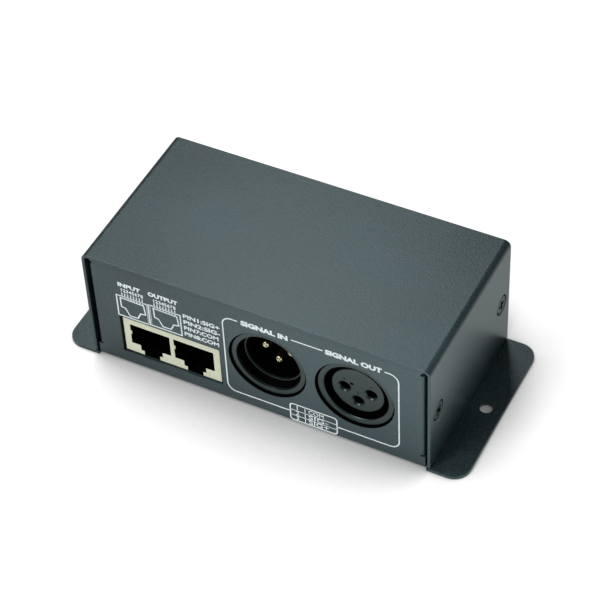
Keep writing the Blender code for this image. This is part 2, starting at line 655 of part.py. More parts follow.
def network_jack(plastic, contact_metal):
    place = (JACK_X, JACK_FACE_Y, BOARD_SEAT)
    half = JACK_WIDTH / 2
    outline = [(-half, 0.0), (half, 0.0), (half, JACK_HEIGHT - JACK_CHAMFER),
               (half - JACK_CHAMFER, JACK_HEIGHT), (-half, JACK_HEIGHT)]
    housing = piece("rj45_housing", [prism(outline, 0.0, JACK_DEPTH, "Y")], plastic, place)
    ports = (-PORT_PITCH / 2, PORT_PITCH / 2)
    cut(housing, [prism(port_outline(x), -BITE, PORT_DEPTH, "Y") for x in ports])
    ridge_out, ridge_length = GUIDE_RIDGE
    walls = [x - PORT_WIDTH / 2 for x in ports]
    join(housing, [box((wall - BITE, 0.0, GUIDE_Z[0]), (wall + ridge_out, ridge_length, GUIDE_Z[1]))
                   for wall in walls])
    comb_low = (-PORT_WIDTH / 2 + GAP, PORT_DEPTH - GAP - COMB_THICK, PORT_Z[0] + GAP)
    comb_high = (PORT_WIDTH / 2 - GAP, PORT_DEPTH - GAP, PORT_Z[1] - GAP)
    for name, x in (("rj45_contacts_in", ports[0]), ("rj45_contacts_out", ports[1])):
        contacts = piece(name, [box(comb_low, comb_high)], contact_metal, (place[0] + x, place[1], place[2]))
        wires = []
        for index in range(CONTACTS):
            middle = (index - (CONTACTS - 1) / 2) * CONTACT_PITCH
            wires.append(sloping_wire(middle))
        join(contacts, wires)


def sloping_wire(x):
    # A spring wire from the comb up to the front of the port's roof, then level
    half = CONTACT_WIRE / 2
    rear_y, rear_z = CONTACT_REAR
    front_y, front_z = CONTACT_FRONT
    end_y = front_y - CONTACT_LEVEL
    side_view = [(rear_y, rear_z - half), (rear_y, rear_z + half), (front_y, front_z + half),
                 (end_y, front_z + half), (end_y, front_z - half), (front_y, front_z - half)]
    return prism(side_view, x - half, x + half, "X")


def round_shell(name, plastic, x, cavity):
    # The moulded housing of a round connector; its own frame is on its axis at the nose's face
    foot = BOARD_SEAT - ROUND_Z
    nose = turned([(NOSE - NOSE_EDGE, 0.0), (NOSE, NOSE_EDGE), (NOSE, FLANGE_Y[0] + BITE)])
    shell = piece(name, [nose], plastic, (x, ROUND_FACE_Y, ROUND_Z), smooth=True)
    flange = round_rectangle((-FLANGE_HALF_WIDTH, foot + GAP), (FLANGE_HALF_WIDTH, FLANGE_TOP), SHELL_CORNER)
    join(shell, [prism(flange, *FLANGE_Y, "Y")])
    block = round_rectangle((-SHELL_HALF_WIDTH, foot), (SHELL_HALF_WIDTH, SHELL_TOP), SHELL_CORNER)
    join(shell, [prism(block, FLANGE_Y[1] - BITE, SHELL_REAR, "Y")])
    cut(shell, cavity)
    return shell


def leg_stations(radius, start):
    # From the back of a contact: straight, a quarter turn down, and through the board
    bend_y = LEG_BACK - LEG_BEND
    neck_start, neck_end = LEG_NECK
    stations = [(start, 0.0, 0, radius), (bend_y - neck_start, 0.0, 0, radius),
                (bend_y - neck_end, 0.0, 0, LEG)]
    for angle in (0, 30, 60, 90):
        turn = math.radians(angle)
        stations.append((bend_y + LEG_BEND * math.sin(turn), LEG_BEND * (math.cos(turn) - 1), -angle, LEG))
    return stations


def male_connector(plastic, metal):
    x = ROUND_X["male"]
    cavity = [turned([(MOUTH + MOUTH_EDGE, -BITE), (MOUTH + MOUTH_EDGE, 0.0), (MOUTH, MOUTH_EDGE),
                      (MOUTH - MOUTH_TAPER, CUP_RIM_Y), (CUP + CUP_EDGE, CUP_RIM_Y),
                      (CUP, CUP_RIM_Y + CUP_EDGE), (CUP, CUP_REAR)])]
    shell = round_shell("xlr_male_housing", plastic, x, cavity)
    holes = [turned([(PIN_HOLE, CUP_REAR - BITE), (PIN_HOLE, SHELL_REAR + BITE)], "Y", SMALL_ROUND, offset)
             for offset in PIN_OFFSETS]
    cut(shell, holes)
    tip = [(PIN_TIP + behind * MM, 0.0, 0, radius * MM) for behind, radius in PIN_TIP_FORM]
    for index, (dx, dz) in enumerate(PIN_OFFSETS):
        end = (LEG_BACK, LEG_END - ROUND_Z - dz, -90, LEG)
        pin = rod(tip + leg_stations(PIN, PIN_TIP + PIN_TIP_LENGTH) + [end])
        piece(f"xlr_male_pin_{index + 1}", [pin], metal, (x + dx, ROUND_FACE_Y, ROUND_Z + dz), smooth=True)


def female_connector(plastic, insert_plastic, metal):
    x = ROUND_X["female"]
    wide_mouth = GROOVE + 2 * MOUTH_EDGE
    cavity = [turned([(wide_mouth, -BITE), (wide_mouth, 0.0), (GROOVE, 2 * MOUTH_EDGE),
                      (GROOVE, GROOVE_REAR), (INSERT_BASE + GAP, GROOVE_REAR),
                      (INSERT_BASE + GAP, SHELL_REAR + BITE)])]
    round_shell("xlr_female_housing", plastic, x, cavity)
    flange_y = GROOVE_REAR - GAP
    flange_front = flange_y - INSERT_FLANGE
    insert = piece("xlr_female_insert", [turned([
        (INSERT - INSERT_EDGE, INSERT_FACE), (INSERT, INSERT_FACE + INSERT_EDGE), (INSERT, flange_front),
        (GROOVE - GAP, flange_front), (GROOVE - GAP, flange_y), (INSERT_BASE, flange_y),
        (INSERT_BASE, SHELL_REAR)])], insert_plastic, (x, ROUND_FACE_Y, ROUND_Z), smooth=True)
    sink_y = INSERT_FACE + SOCKET_MOUTH - SOCKET_HOLE
    sink = [(SOCKET_MOUTH + BITE, INSERT_FACE - BITE), (SOCKET_HOLE, sink_y),
            (SOCKET_HOLE, SHELL_REAR + BITE)]
    cut(insert, [turned(sink, "Y", SMALL_ROUND, (-dx, dz)) for dx, dz in PIN_OFFSETS])
    (left, foot), (right, top) = INSERT_MARK
    mark_y = INSERT_FACE + INSERT_MARK_DEPTH
    cut(insert, [box((left, INSERT_FACE - BITE, foot), (right, mark_y, top))])
    bore_side, bore_bottom = SOCKET_BORE
    bore = [(SOCKET_FACE + bore_bottom, 0.0, 0, SOCKET_BOTTOM), (SOCKET_FACE + bore_side, 0.0, 0, PIN),
            (SOCKET_FACE, 0.0, 0, PIN), (SOCKET_FACE, 0.0, 0, SOCKET)]
    for index, (dx, dz) in enumerate(PIN_OFFSETS):
        end = (LEG_BACK, LEG_END - ROUND_Z - dz, -90, LEG)
        contact = rod(bore + leg_stations(SOCKET, SOCKET_FACE + SOCKET_TUBE) + [end])
        piece(f"xlr_female_contact_{index + 1}", [contact], metal, (x - dx, ROUND_FACE_Y, ROUND_Z + dz),
              smooth=True)


def pole_x(pole, poles):
    return (pole - (poles - 1) / 2) * PITCH


def terminal_header(name, plastic, x, poles):
    # A shrouded header on the board; its mouth fills the window in the rear panel
    half = poles * PITCH / 2 + HEADER_MARGIN
    inner = half - HEADER_WALL
    place = (x, HEADER_FACE_Y, BOARD_SEAT)
    header = piece(name, [box((-half, -HEADER_DEPTH, 0.0), (half, 0.0, HEADER_HEIGHT))], plastic, place)
    cut(header, [box((-inner, -HEADER_CAVITY, HEADER_WALL), (inner, BITE, HEADER_HEIGHT - HEADER_WALL))])
    blades = []
    legs = []
    blade = CONTACT_BLADE / 2
    middle = HEADER_HEIGHT / 2
    for pole in range(poles):
        px = pole_x(pole, poles)
        blades.append(box((px - blade, -HEADER_CAVITY - BITE, middle - blade),
                          (px + blade, BLADE_REACH - HEADER_CAVITY, middle + blade)))
        leg_y = HEADER_LEG_Y - HEADER_DEPTH
        legs.append(box((px - blade, leg_y - blade, LEG_END - BOARD_SEAT), (px + blade, leg_y + blade, BITE)))
    join(header, blades + legs)


def wire_entry(px):
    # A flared window in the plug's rear face
    inside = rectangle((px - WIRE_HALF_WIDTH, WIRE_Z[0]), (px + WIRE_HALF_WIDTH, WIRE_Z[1]))
    flared = rectangle((px - WIRE_HALF_WIDTH - 2 * WIRE_FLARE, WIRE_Z[0] - 2 * WIRE_FLARE),
                       (px + WIRE_HALF_WIDTH + 2 * WIRE_FLARE, WIRE_Z[1] + 2 * WIRE_FLARE))
    rear = REAR_Y + PLUG_REACH - HEADER_FACE_Y
    return [prism(inside, CAGE_ROOM_Y[1] - BITE, rear + BITE, "Y"),
            prism(inside, rear - WIRE_FLARE, rear + WIRE_FLARE, "Y", flared)]


def plug_side_view():
    # The plug from its side: nose, body with a chamfered top edge where the screws are reached
    rear = REAR_Y + PLUG_REACH - HEADER_FACE_Y
    low, high = PLUG_Z
    nose_low = HEADER_WALL + GAP
    nose_high = HEADER_HEIGHT - HEADER_WALL - GAP
    return [(-NOSE_LENGTH, nose_low), (PLUG_START, nose_low), (PLUG_START, low), (rear, low),
            (rear, high - PLUG_SLOPE), (rear - PLUG_SLOPE, high), (PLUG_START, high), (PLUG_START, nose_high),
            (-NOSE_LENGTH, nose_high)]


def pole_grooves(poles):
    # Grooves down the plug's rear face and over its top, one between each two poles
    half, depth = POLE_GROOVE
    rear = REAR_Y + PLUG_REACH - HEADER_FACE_Y
    low, high = PLUG_Z
    inner = [(rear - depth, low - BITE), (rear - depth, high - PLUG_SLOPE - depth / 2),
             (rear - PLUG_SLOPE - depth / 2, high - depth), (PLUG_START - BITE, high - depth)]
    outer = [(PLUG_START - BITE, high + BITE), (rear + BITE, high + BITE), (rear + BITE, low - BITE)]
    seams = [pole_x(pole, poles) + PITCH / 2 for pole in range(poles - 1)]
    return [prism(inner + outer, seam - half, seam + half, "X") for seam in seams]


def terminal_plug(name, plastic, x, poles):
    # The plug in the header: a room for each clamp, a well for its screw, a window for its wire
    half = poles * PITCH / 2 - GAP / 2
    place = (x, HEADER_FACE_Y, BOARD_SEAT)
    plug = piece(name, [prism(plug_side_view(), -half, half, "X")], plastic, place)
    rooms = []
    windows = []
    wells = []
    strips = []
    middle = HEADER_HEIGHT / 2
    blade_room = CONTACT_BLADE / 2 + GAP
    screw_y = sum(CAGE_ROOM_Y) / 2
    for pole in range(poles):
        px = pole_x(pole, poles)
        rooms.append(box((px - CAGE_ROOM_HALF, CAGE_ROOM_Y[0], CAGE_ROOM_Z[0]),
                         (px + CAGE_ROOM_HALF, CAGE_ROOM_Y[1], CAGE_ROOM_Z[1])))
        rooms.append(box((px - blade_room, -NOSE_LENGTH - BITE, middle - blade_room),
                         (px + blade_room, BLADE_REACH - HEADER_CAVITY + BITE, middle + blade_room)))
        entry, flare = wire_entry(px)
        windows.append(entry)
        strips.append(box((px - STRIP_HALF_WIDTH, CAGE_ROOM_Y[0] - BITE, STRIP_Z[0]),
                          (px + STRIP_HALF_WIDTH, CAGE_ROOM_Y[1] - BITE, STRIP_Z[1])))
        wells.append(turned([(SCREW_NECK, CAGE_ROOM_Z[1] - BITE), (SCREW_NECK, SCREW_WELL_Z),
                             (SCREW_WELL, SCREW_WELL_Z), (SCREW_WELL, PLUG_Z[1] + BITE)],
                            "Z", SMALL_ROUND, (px, screw_y)))
        wells.append(flare)
    cut(plug, pole_grooves(poles))
    cut(plug, rooms)
    cut(plug, windows)
    cut(plug, wells)
    join(plug, strips)
    return plug


def clamp_screw(name, metal, place):
    # Slotted head in its well; the shank runs down through the cage to the contact strip
    head_low, head_high = CLAMP_HEAD_Z
    profile = [(CLAMP_SHANK, CLAMP_TIP_Z), (CLAMP_SHANK, head_low), (CLAMP_HEAD, head_low),
               (CLAMP_HEAD, head_high - CLAMP_HEAD_EDGE), (CLAMP_HEAD - CLAMP_HEAD_EDGE, head_high)]
    screw = piece(name, [turned(profile, "Z", SMALL_ROUND)], metal, place, smooth=True)
    cut(screw, [box((-CLAMP_HEAD - BITE, -SLOT_HALF_WIDTH, head_high - SLOT_DEPTH),
                    (CLAMP_HEAD + BITE, SLOT_HALF_WIDTH, head_high + BITE))])


def clamp_cage(name, metal, place):
    # A rising cage: a square tube open to the wire, its roof tapped for the screw
    half = CAGE_HALF_WIDTH
    low = CAGE_REST_Z
    high = low + CAGE_HEIGHT
    outside = rectangle((-half, low), (half, high))
    cage = piece(name, [prism(outside, -CAGE_DEPTH / 2, CAGE_DEPTH / 2, "Y")], metal, place)
    inside = rectangle((CAGE_WALL - half, low + CAGE_FLOOR), (half - CAGE_WALL, high - CAGE_FLOOR))
    cut(cage, [prism(inside, -CAGE_DEPTH, CAGE_DEPTH, "Y")])
    cut(cage, [turned([(SCREW_NECK, high - CAGE_FLOOR - BITE), (SCREW_NECK, high + BITE)], "Z", SMALL_ROUND)])


def terminals(plastic, screw_metal, cage_metal):
    for name, (x, poles) in TERMINALS.items():
        terminal_header(f"{name}_header", plastic, x, poles)
        terminal_plug(f"{name}_plug", plastic, x, poles)
        for pole in range(poles):
            place = (x + pole_x(pole, poles), HEADER_FACE_Y + sum(CAGE_ROOM_Y) / 2, BOARD_SEAT)
            clamp_screw(f"{name}_screw_{pole + 1}", screw_metal, place)
            clamp_cage(f"{name}_clamp_{pole + 1}", cage_metal, place)


def address_switch(body_plastic, slider_plastic):
    # Ten sliders, each held behind its track by a wider foot
    place = (SWITCH_X, SWITCH_FACE_Y, SWITCH_Z)
    outline = rectangle((-SWITCH_HALF_WIDTH, -SWITCH_HALF_HEIGHT), (SWITCH_HALF_WIDTH, SWITCH_HALF_HEIGHT))
    body = piece("dip_switch_body", [prism(outline, -SWITCH_DEPTH, 0.0, "Y")], body_plastic, place)
    tracks = []
    rooms = []
    for way in range(SWITCH_WAYS):
        x = (way - (SWITCH_WAYS - 1) / 2) * SWITCH_PITCH
        tracks.append(box((x - TRACK_HALF_WIDTH, -TRACK_DEPTH - BITE, -TRACK_HALF_HEIGHT),
                          (x + TRACK_HALF_WIDTH, BITE, TRACK_HALF_HEIGHT)))
        rooms.append(box((x - ROOM_HALF_WIDTH, -ROOM_DEPTH, -ROOM_HALF_HEIGHT),
                         (x + ROOM_HALF_WIDTH, -TRACK_DEPTH, ROOM_HALF_HEIGHT)))
        foot = box((-FOOT_HALF_WIDTH, -FOOT_DEPTH[0], -FOOT_HALF_HEIGHT),
                   (FOOT_HALF_WIDTH, -FOOT_DEPTH[1], FOOT_HALF_HEIGHT))
        knob = prism(rectangle((-KNOB_HALF_WIDTH, -KNOB_HALF_HEIGHT), (KNOB_HALF_WIDTH, KNOB_HALF_HEIGHT)),
                     -FOOT_DEPTH[1] - 0.2 * MM, KNOB_OUT, "Y")
        # Way 1 is the leftmost one as seen from behind
        slider = piece(f"dip_slider_{way + 1}", [foot], slider_plastic,
                       (place[0] - x, place[1], place[2] + SLIDER_REST_Z))
        join(slider, [knob])
    cut(body, rooms)
    cut(body, tracks)


def indicator_lamp(material):
    place = (LAMP_X, PANEL_REAR_Y, SWITCH_Z)
    base = LAMP_OUT - LAMP_LENGTH
    dome = [(LAMP_LENS * math.cos(math.radians(a)), LAMP_OUT - LAMP_LENS * (1 - math.sin(math.radians(a))))
            for a in (0, 25, 50, 75)]
    flange_end = base + LAMP_FLANGE_LENGTH
    lens = turned([(LAMP_FLANGE, base), (LAMP_FLANGE, flange_end), (LAMP_LENS, flange_end)] + dome, "Y",
                  SMALL_ROUND)
    lamp = piece("status_led", [lens], material, place, smooth=True)
    bend_y = base - LAMP_STRAIGHT
    leads = []
    for side in (-1, 1):
        stations = [(base + BITE, 0.0, 180, LAMP_LEAD), (bend_y, 0.0, 180, LAMP_LEAD)]
        for angle in (30, 60, 90):
            turn = math.radians(angle)
            stations.append((bend_y - LAMP_BEND * math.sin(turn), LAMP_BEND * (math.cos(turn) - 1),
                             180 + angle, LAMP_LEAD))
        stations.append((bend_y - LAMP_BEND, LEG_END - SWITCH_Z, 270, LAMP_LEAD))
        leads.append(moved(rod(stations, TINY_ROUND), (side * LAMP_LEAD_HALF_PITCH, 0.0, 0.0)))
    join(lamp, leads)


def board_parts(can, chip_plastic, transistor_plastic):
    # Supply capacitor, controller chip and one switching transistor for each channel
    radius = CAPACITOR_RADIUS
    narrow = radius - CAPACITOR_EDGE
    bead_low, bead, bead_high = CAPACITOR_BEAD
    capacitor = piece("capacitor", [turned([
        (narrow, 0.0), (radius, CAPACITOR_EDGE), (radius, bead_low), (narrow, bead), (radius, bead_high),
        (radius, CAPACITOR_HEIGHT - CAPACITOR_EDGE), (narrow, CAPACITOR_HEIGHT)],
        "Z", MEDIUM_ROUND)], can, (*CAPACITOR, BOARD_SEAT), smooth=True)
    leg_x, leg_radius = CAPACITOR_LEG
    leg = [(leg_radius, LEG_END - BOARD_SEAT), (leg_radius, BITE)]
    join(capacitor, [turned(leg, "Z", TINY_ROUND, (side * leg_x, 0.0)) for side in (-1, 1)])
    half_x, half_y = CHIP_HALF
    moulding = box((-half_x, -half_y, CHIP_CLEAR), (half_x, half_y, CHIP_HEIGHT))
    chip = piece("controller_chip", [moulding], chip_plastic, (*CHIP, BOARD_SEAT))
    legs = []
    for index in range(CHIP_LEGS):
        x = (index - (CHIP_LEGS - 1) / 2) * CHIP_LEG_PITCH
        for side in (-1, 1):
            wing = [(side * (half_y + out * MM), up * MM) for out, up in CHIP_WING]
            legs.append(prism(wing, x - CHIP_LEG_HALF_WIDTH, x + CHIP_LEG_HALF_WIDTH, "X"))
    join(chip, legs)
    for index, x in enumerate(TRANSISTOR_X):
        transistor(f"power_transistor_{index + 1}", transistor_plastic, (x, TRANSISTOR_Y, BOARD_SEAT))


def transistor(name, material, place):
    # Upright: a moulded block on a drilled metal tab, three legs down through the board
    half_x, half_y = TRANSISTOR_BLOCK
    low, high = TRANSISTOR_Z
    leg_x, leg_y = TRANSISTOR_LEG
    eye_z, eye = TAB_EYE
    part = piece(name, [box((-half_x, -half_y, low), (half_x, half_y, high))], material, place)
    join(part, [box((-TAB_HALF_WIDTH, TAB_Y[0], low + TAB_ROOT), (TAB_HALF_WIDTH, TAB_Y[1], TAB_END_Z))])
    join(part, [box((dx - leg_x, -leg_y, LEG_END - BOARD_SEAT), (dx + leg_x, leg_y, low + BITE))
                for dx in TRANSISTOR_LEGS])
    cut(part, [prism(circle((0.0, eye_z), eye), TAB_Y[0] - BITE, TAB_Y[1] + BITE, "Y")])


def build():
    for leftover in list(bpy.data.objects):
        bpy.data.objects.remove(leftover)
    coat = finish("powder_coated_steel", (0.075, 0.09, 0.09), 0.5)
    screw_black = finish("blackened_screw_steel", (0.03, 0.03, 0.032), 0.4, 0.8)
    steel = finish("zinc_plated_steel", (0.6, 0.62, 0.65), 0.35, 1.0)
    brass = finish("turned_brass", (0.75, 0.6, 0.3), 0.35, 1.0)
    resin_board = finish("green_resin_board", (0.02, 0.14, 0.06), 0.4)
    ivory = finish("ivory_plastic", (0.72, 0.7, 0.52), 0.45)
    gold = finish("gold_plated_contact", (0.85, 0.68, 0.35), 0.25, 1.0)
    dark_plastic = finish("dark_grey_plastic", (0.075, 0.085, 0.085), 0.45)
    green_plastic = finish("green_terminal_plastic", (0.03, 0.28, 0.1), 0.45)
    nickel = finish("nickel_plated_brass", (0.7, 0.68, 0.62), 0.3, 1.0)
    red_plastic = finish("red_switch_plastic", (0.5, 0.03, 0.03), 0.4)
    white_plastic = finish("white_plastic", (0.8, 0.8, 0.78), 0.4)
    lamp_resin = finish("green_lamp_resin", (0.1, 0.5, 0.15), 0.15)
    can = finish("sleeved_aluminium_can", (0.02, 0.02, 0.05), 0.35)
    epoxy = finish("moulded_epoxy", (0.02, 0.02, 0.02), 0.5)
    base_tray(coat)
    cover(coat)
    cover_screws(screw_black)
    circuit_board(resin_board)
    board_fixings(steel, brass)
    network_jack(ivory, gold)
    male_connector(dark_plastic, nickel)
    female_connector(dark_plastic, dark_plastic, nickel)
    terminals(green_plastic, steel, nickel)
    address_switch(red_plastic, white_plastic)
    indicator_lamp(lamp_resin)
    board_parts(can, epoxy, epoxy)


build()
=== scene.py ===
import math

import bmesh
import bpy
from mathutils import Matrix, Vector


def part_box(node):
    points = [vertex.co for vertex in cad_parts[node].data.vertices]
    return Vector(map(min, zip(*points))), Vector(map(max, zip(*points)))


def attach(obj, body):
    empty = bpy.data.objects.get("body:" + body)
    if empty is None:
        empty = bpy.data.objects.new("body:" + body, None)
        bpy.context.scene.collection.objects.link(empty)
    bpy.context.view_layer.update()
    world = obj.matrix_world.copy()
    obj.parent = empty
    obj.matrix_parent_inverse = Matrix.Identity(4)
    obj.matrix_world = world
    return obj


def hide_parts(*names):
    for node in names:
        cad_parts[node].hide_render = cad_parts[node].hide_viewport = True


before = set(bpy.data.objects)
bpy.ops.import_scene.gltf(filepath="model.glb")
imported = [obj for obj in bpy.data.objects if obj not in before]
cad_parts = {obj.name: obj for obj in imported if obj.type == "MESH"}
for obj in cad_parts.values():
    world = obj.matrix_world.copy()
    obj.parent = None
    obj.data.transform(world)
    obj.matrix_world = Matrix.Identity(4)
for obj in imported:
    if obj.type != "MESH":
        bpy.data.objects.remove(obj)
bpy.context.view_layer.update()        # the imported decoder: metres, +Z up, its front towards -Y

mm = 0.001               # pieces are drawn in millimetres and brought to metres at the end


def hexColor(code):
    # sRGB hex to the linear values that a shader wants
    parts = [int(code[i:i + 2], 16) / 255 for i in (1, 3, 5)]
    return tuple(p / 12.92 if p <= 0.04045 else ((p + 0.055) / 1.055) ** 2.4 for p in parts) + (1.0,)


def addNode(tree, kind, links=None, **settings):
    # one node with its settings; links gives an input a socket to follow or a plain value
    node = tree.nodes.new(kind)
    for name, value in settings.items():
        setattr(node, name, value)
    for name, value in (links or {}).items():
        if isinstance(value, bpy.types.NodeSocket):
            tree.links.new(value, node.inputs[name])
        else:
            node.inputs[name].default_value = value
    return node


def surface(name, dark, light, rough, grain, relief, cloud=12.0, **sockets):
    # A fine grain mixes two near colours, lifts the surface and varies its roughness; a soft
    # cloud, wider than the grain, shades it from place to place. Grain, relief and cloud in mm.
    material = bpy.data.materials.new(name)
    material.use_nodes = True
    tree = material.node_tree
    shader = tree.nodes["Principled BSDF"]
    for socket, value in sockets.items():
        shader.inputs[socket.replace("_", " ")].default_value = value
    place = addNode(tree, "ShaderNodeTexCoord").outputs["Object"]
    fine = addNode(tree, "ShaderNodeTexNoise", {"Vector": place, "Scale": 1 / (grain * mm), "Detail": 3.0})
    wide = addNode(tree, "ShaderNodeTexNoise", {"Vector": place, "Scale": 1 / (cloud * mm), "Detail": 2.0})
    mixed = addNode(tree, "ShaderNodeMath", {0: fine.outputs[0], 1: wide.outputs[0]}, operation="ADD")
    # the sum of the two noises seldom leaves this range
    middle = {"Value": mixed.outputs[0], "From Min": 0.75, "From Max": 1.25}
    share = addNode(tree, "ShaderNodeMapRange", middle)
    spread = addNode(tree, "ShaderNodeMapRange", {**middle, "To Min": rough[0], "To Max": rough[1]})
    colour = addNode(tree, "ShaderNodeMix", {0: share.outputs[0], 6: hexColor(dark), 7: hexColor(light)},
                     data_type="RGBA")
    bump = addNode(tree, "ShaderNodeBump", {"Height": fine.outputs[0], "Distance": relief * mm,
                                            "Strength": 1.0})
    tree.links.new(colour.outputs[2], shader.inputs["Base Color"])
    tree.links.new(spread.outputs[0], shader.inputs["Roughness"])
    tree.links.new(bump.outputs[0], shader.inputs["Normal"])
    return material


# Polyester powder coat with a fine texture, baked on sheet steel: dark, with a soft sheen that
# small grains break up. The real grains are about 0.2 mm; drawn at 0.4 mm so that they show.
powderCoat = surface("fineTexturePowderCoat", "#0a1112", "#303f43", (0.32, 0.4), 0.4, 0.042, 60,
                     IOR=1.58, Specular_Tint=hexColor("#e2fdff"))
# Screen-printed epoxy ink: flat and nearly white, a little uneven where the coat's grain lifts it
printInk = surface("screenPrintInk", "#d3e0e1", "#eaf4f5", (0.45, 0.6), 0.3, 0.004)
# Moulded PBT, ivory: smooth satin with faint flow clouds
ivoryPlastic = surface("mouldedIvoryPbt", "#c8ccb2", "#d4d8c0", (0.35, 0.45), 0.5, 0.004, 6)
# Near black, with almost no reflection: the black plastic of the jack's combs, and painted shade on the
# ports' walls, in gaps, recesses, cups and sockets and in engraved numbers, where light hardly reaches
blackPlasticAndShade = surface("blackPlasticAndPaintedShade", "#020202", "#050505", (0.6, 0.75), 0.5, 0.006,
                    Specular_IOR_Level=0.01)
# Glass-filled nylon, moulded dark grey: satin, with a fine spark-eroded grain of 0.1 mm that is
# drawn at 0.3 mm
connectorNylon = surface("mouldedConnectorNylon", "#0c1010", "#151b1a", (0.3, 0.37), 0.3, 0.01, 8,
                         IOR=1.53, Specular_Tint=hexColor("#e2fdff"))
# Nickel-plated brass pins, turned: warm silver, drawn a little darker than bare nickel as painted shade on
# the shafts deep in the cup and sockets
nickelBrass = surface("nickelPlatedBrass", "#b5ad8c", "#d4cba8", (0.2, 0.3), 0.3, 0.002, Metallic=1.0)
# Hard gold over nickel on spring wire: bright and yellow
goldWire = surface("goldPlatedSpringWire", "#d9b25c", "#f0cf7d", (0.18, 0.28), 0.3, 0.001, Metallic=1.0)
# Zinc plate with a dark passivated film on steel screws: about the coat's own tone, with some sheen
darkSteel = surface("darkPassivatedSteel", "#0d1213", "#161d1e", (0.34, 0.44), 0.2, 0.004, 2, Metallic=0.2,
                    Specular_Tint=hexColor("#e2fdff"))
# Bright zinc plate on steel: pale, a little bluish, slightly clouded
zincSteel = surface("brightZincPlate", "#b4b9bf", "#d3d7da", (0.22, 0.38), 0.3, 0.003, 2, Metallic=1.0)
# Turned brass standoffs, bare
turnedBrass = surface("turnedBrass", "#b08a48", "#cda862", (0.25, 0.4), 0.2, 0.002, Metallic=1.0)
# Green polyamide terminals: satin, moulded
terminalPlastic = surface("mouldedGreenPolyamide", "#277a49", "#318a57", (0.4, 0.52), 0.3, 0.008, 5)
# Thermoplastic polyester, red: smooth and a little shiny
switchPlastic = surface("mouldedRedPolyester", "#9c1f1c", "#ad2b26", (0.32, 0.42), 0.4, 0.004, 5)
# White nylon sliders: satin
sliderPlastic = surface("mouldedWhiteNylon", "#dfdfda", "#eeeeea", (0.35, 0.45), 0.3, 0.004)
# Tinted clear epoxy of an indicator lamp: pale green, glassy
lampEpoxy = surface("tintedLampEpoxy", "#8fcf8c", "#a9dfa2", (0.08, 0.12), 1.0, 0.0005, IOR=1.54,
                    Transmission_Weight=0.35)
# Solder mask over a glass-epoxy board: satin green
boardMask = surface("solderMaskBoard", "#0f4a2a", "#17603a", (0.3, 0.42), 0.4, 0.003, 6)
# Shrunk polyester sleeve on an aluminium can: near black, shiny
sleevedCan = surface("shrinkSleevedCan", "#14151f", "#1f2130", (0.25, 0.35), 0.8, 0.002)
# Moulded epoxy of chips and transistors: black, matt, fine grain
packageEpoxy = surface("mouldedEpoxyPackage", "#151515", "#202020", (0.5, 0.62), 0.2, 0.006)
print("materials made")


def arcPoints(centre, radius, start, end, steps=8):
    turns = [math.radians(start + (end - start) * i / steps) for i in range(steps + 1)]
    return [(centre[0] + radius * math.cos(a), centre[1] + radius * math.sin(a)) for a in turns]


def roundRect(low, high, radius, steps=6):
    corners = ((low[0], low[1], 180), (high[0], low[1], 270), (high[0], high[1], 0), (low[0], high[1], 90))
    outline = []
    for x, y, start in corners:
        centre = (x + radius if x == low[0] else x - radius, y + radius if y == low[1] else y - radius)
        outline += arcPoints(centre, radius, start, start + 90, steps)
    return outline


def inSpace(axis, point, along):
    u, v = point
    return {"X": (along, u, v), "Y": (u, along, v), "Z": (u, v, along)}[axis]


def closeRings(bm, rings, loop=False):
    # faces between rings of points one after another, the ends closed unless the rings form a loop
    faces = []
    pairs = list(zip(rings, rings[1:])) + ([(rings[-1], rings[0])] if loop else [])
    for near, far in pairs:
        for i in range(len(near)):
            after = (i + 1) % len(near)
            corners = []
            for corner in (near[i], near[after], far[after], far[i]):
                if corner not in corners:
                    corners.append(corner)
            faces.append(bm.faces.new(corners))
    if not loop:
        for end in (rings[0], rings[-1]):
            if end[0] != end[1]:
                faces.append(bm.faces.new(end))
    bmesh.ops.recalc_face_normals(bm, faces=faces)


def prism(outline, low, high, axis="Z", farOutline=None):
    # an outline carried from low to high along an axis, or lofted to another one
    bm = bmesh.new()
    closeRings(bm, [[bm.verts.new(inSpace(axis, p, low)) for p in outline],
                    [bm.verts.new(inSpace(axis, p, high)) for p in (farOutline or outline)]])
    return bm


def block(low, high):
    foot = [(low[0], low[1]), (high[0], low[1]), (high[0], high[1]), (low[0], high[1])]
    return prism(foot, low[2], high[2])


def lathe(profile, axis="Y", segments=96, centre=(0.0, 0.0), loop=False):
    # (radius, distance along the axis) turned round; a radius of 0 closes to a point, a loop
    # makes a ring with the profile as its section
    bm = bmesh.new()
    rings = []
    for radius, along in profile:
        if radius == 0:
            rings.append([bm.verts.new(inSpace(axis, centre, along))] * segments)
        else:
            rings.append([bm.verts.new(inSpace(axis, p, along))
                          for p in arcPoints(centre, radius, 0, 360, segments)[:-1]])
    closeRings(bm, rings, loop)
    return bm


def wire(points, radius, segments=12, bm=None):
    # a round wire through points in space
    bm = bm or bmesh.new()
    points = [Vector(p) for p in points]
    rings = []
    side = None
    for i, point in enumerate(points):
        ahead = (points[min(i + 1, len(points) - 1)] - points[max(i - 1, 0)]).normalized()
        side = (ahead.orthogonal() if side is None else side - ahead * side.dot(ahead)).normalized()
        lift = ahead.cross(side)
        rings.append([bm.verts.new(point + side * u + lift * v)
                      for u, v in arcPoints((0, 0), radius, 0, 360, segments)[:-1]])
    closeRings(bm, rings)
    return bm


def newObject(name, bm):
    mesh = bpy.data.meshes.new(name)
    bm.to_mesh(mesh)
    bm.free()
    made = bpy.data.objects.new(name, mesh)
    bpy.context.scene.collection.objects.link(made)
    return made


def settled(source):
    # the evaluated result of an object's modifiers as a plain mesh, with the modifiers gone
    graph = bpy.context.evaluated_depsgraph_get()
    mesh = bpy.data.meshes.new_from_object(source.evaluated_get(graph))
    source.modifiers.clear()
    source.data = mesh
    return source


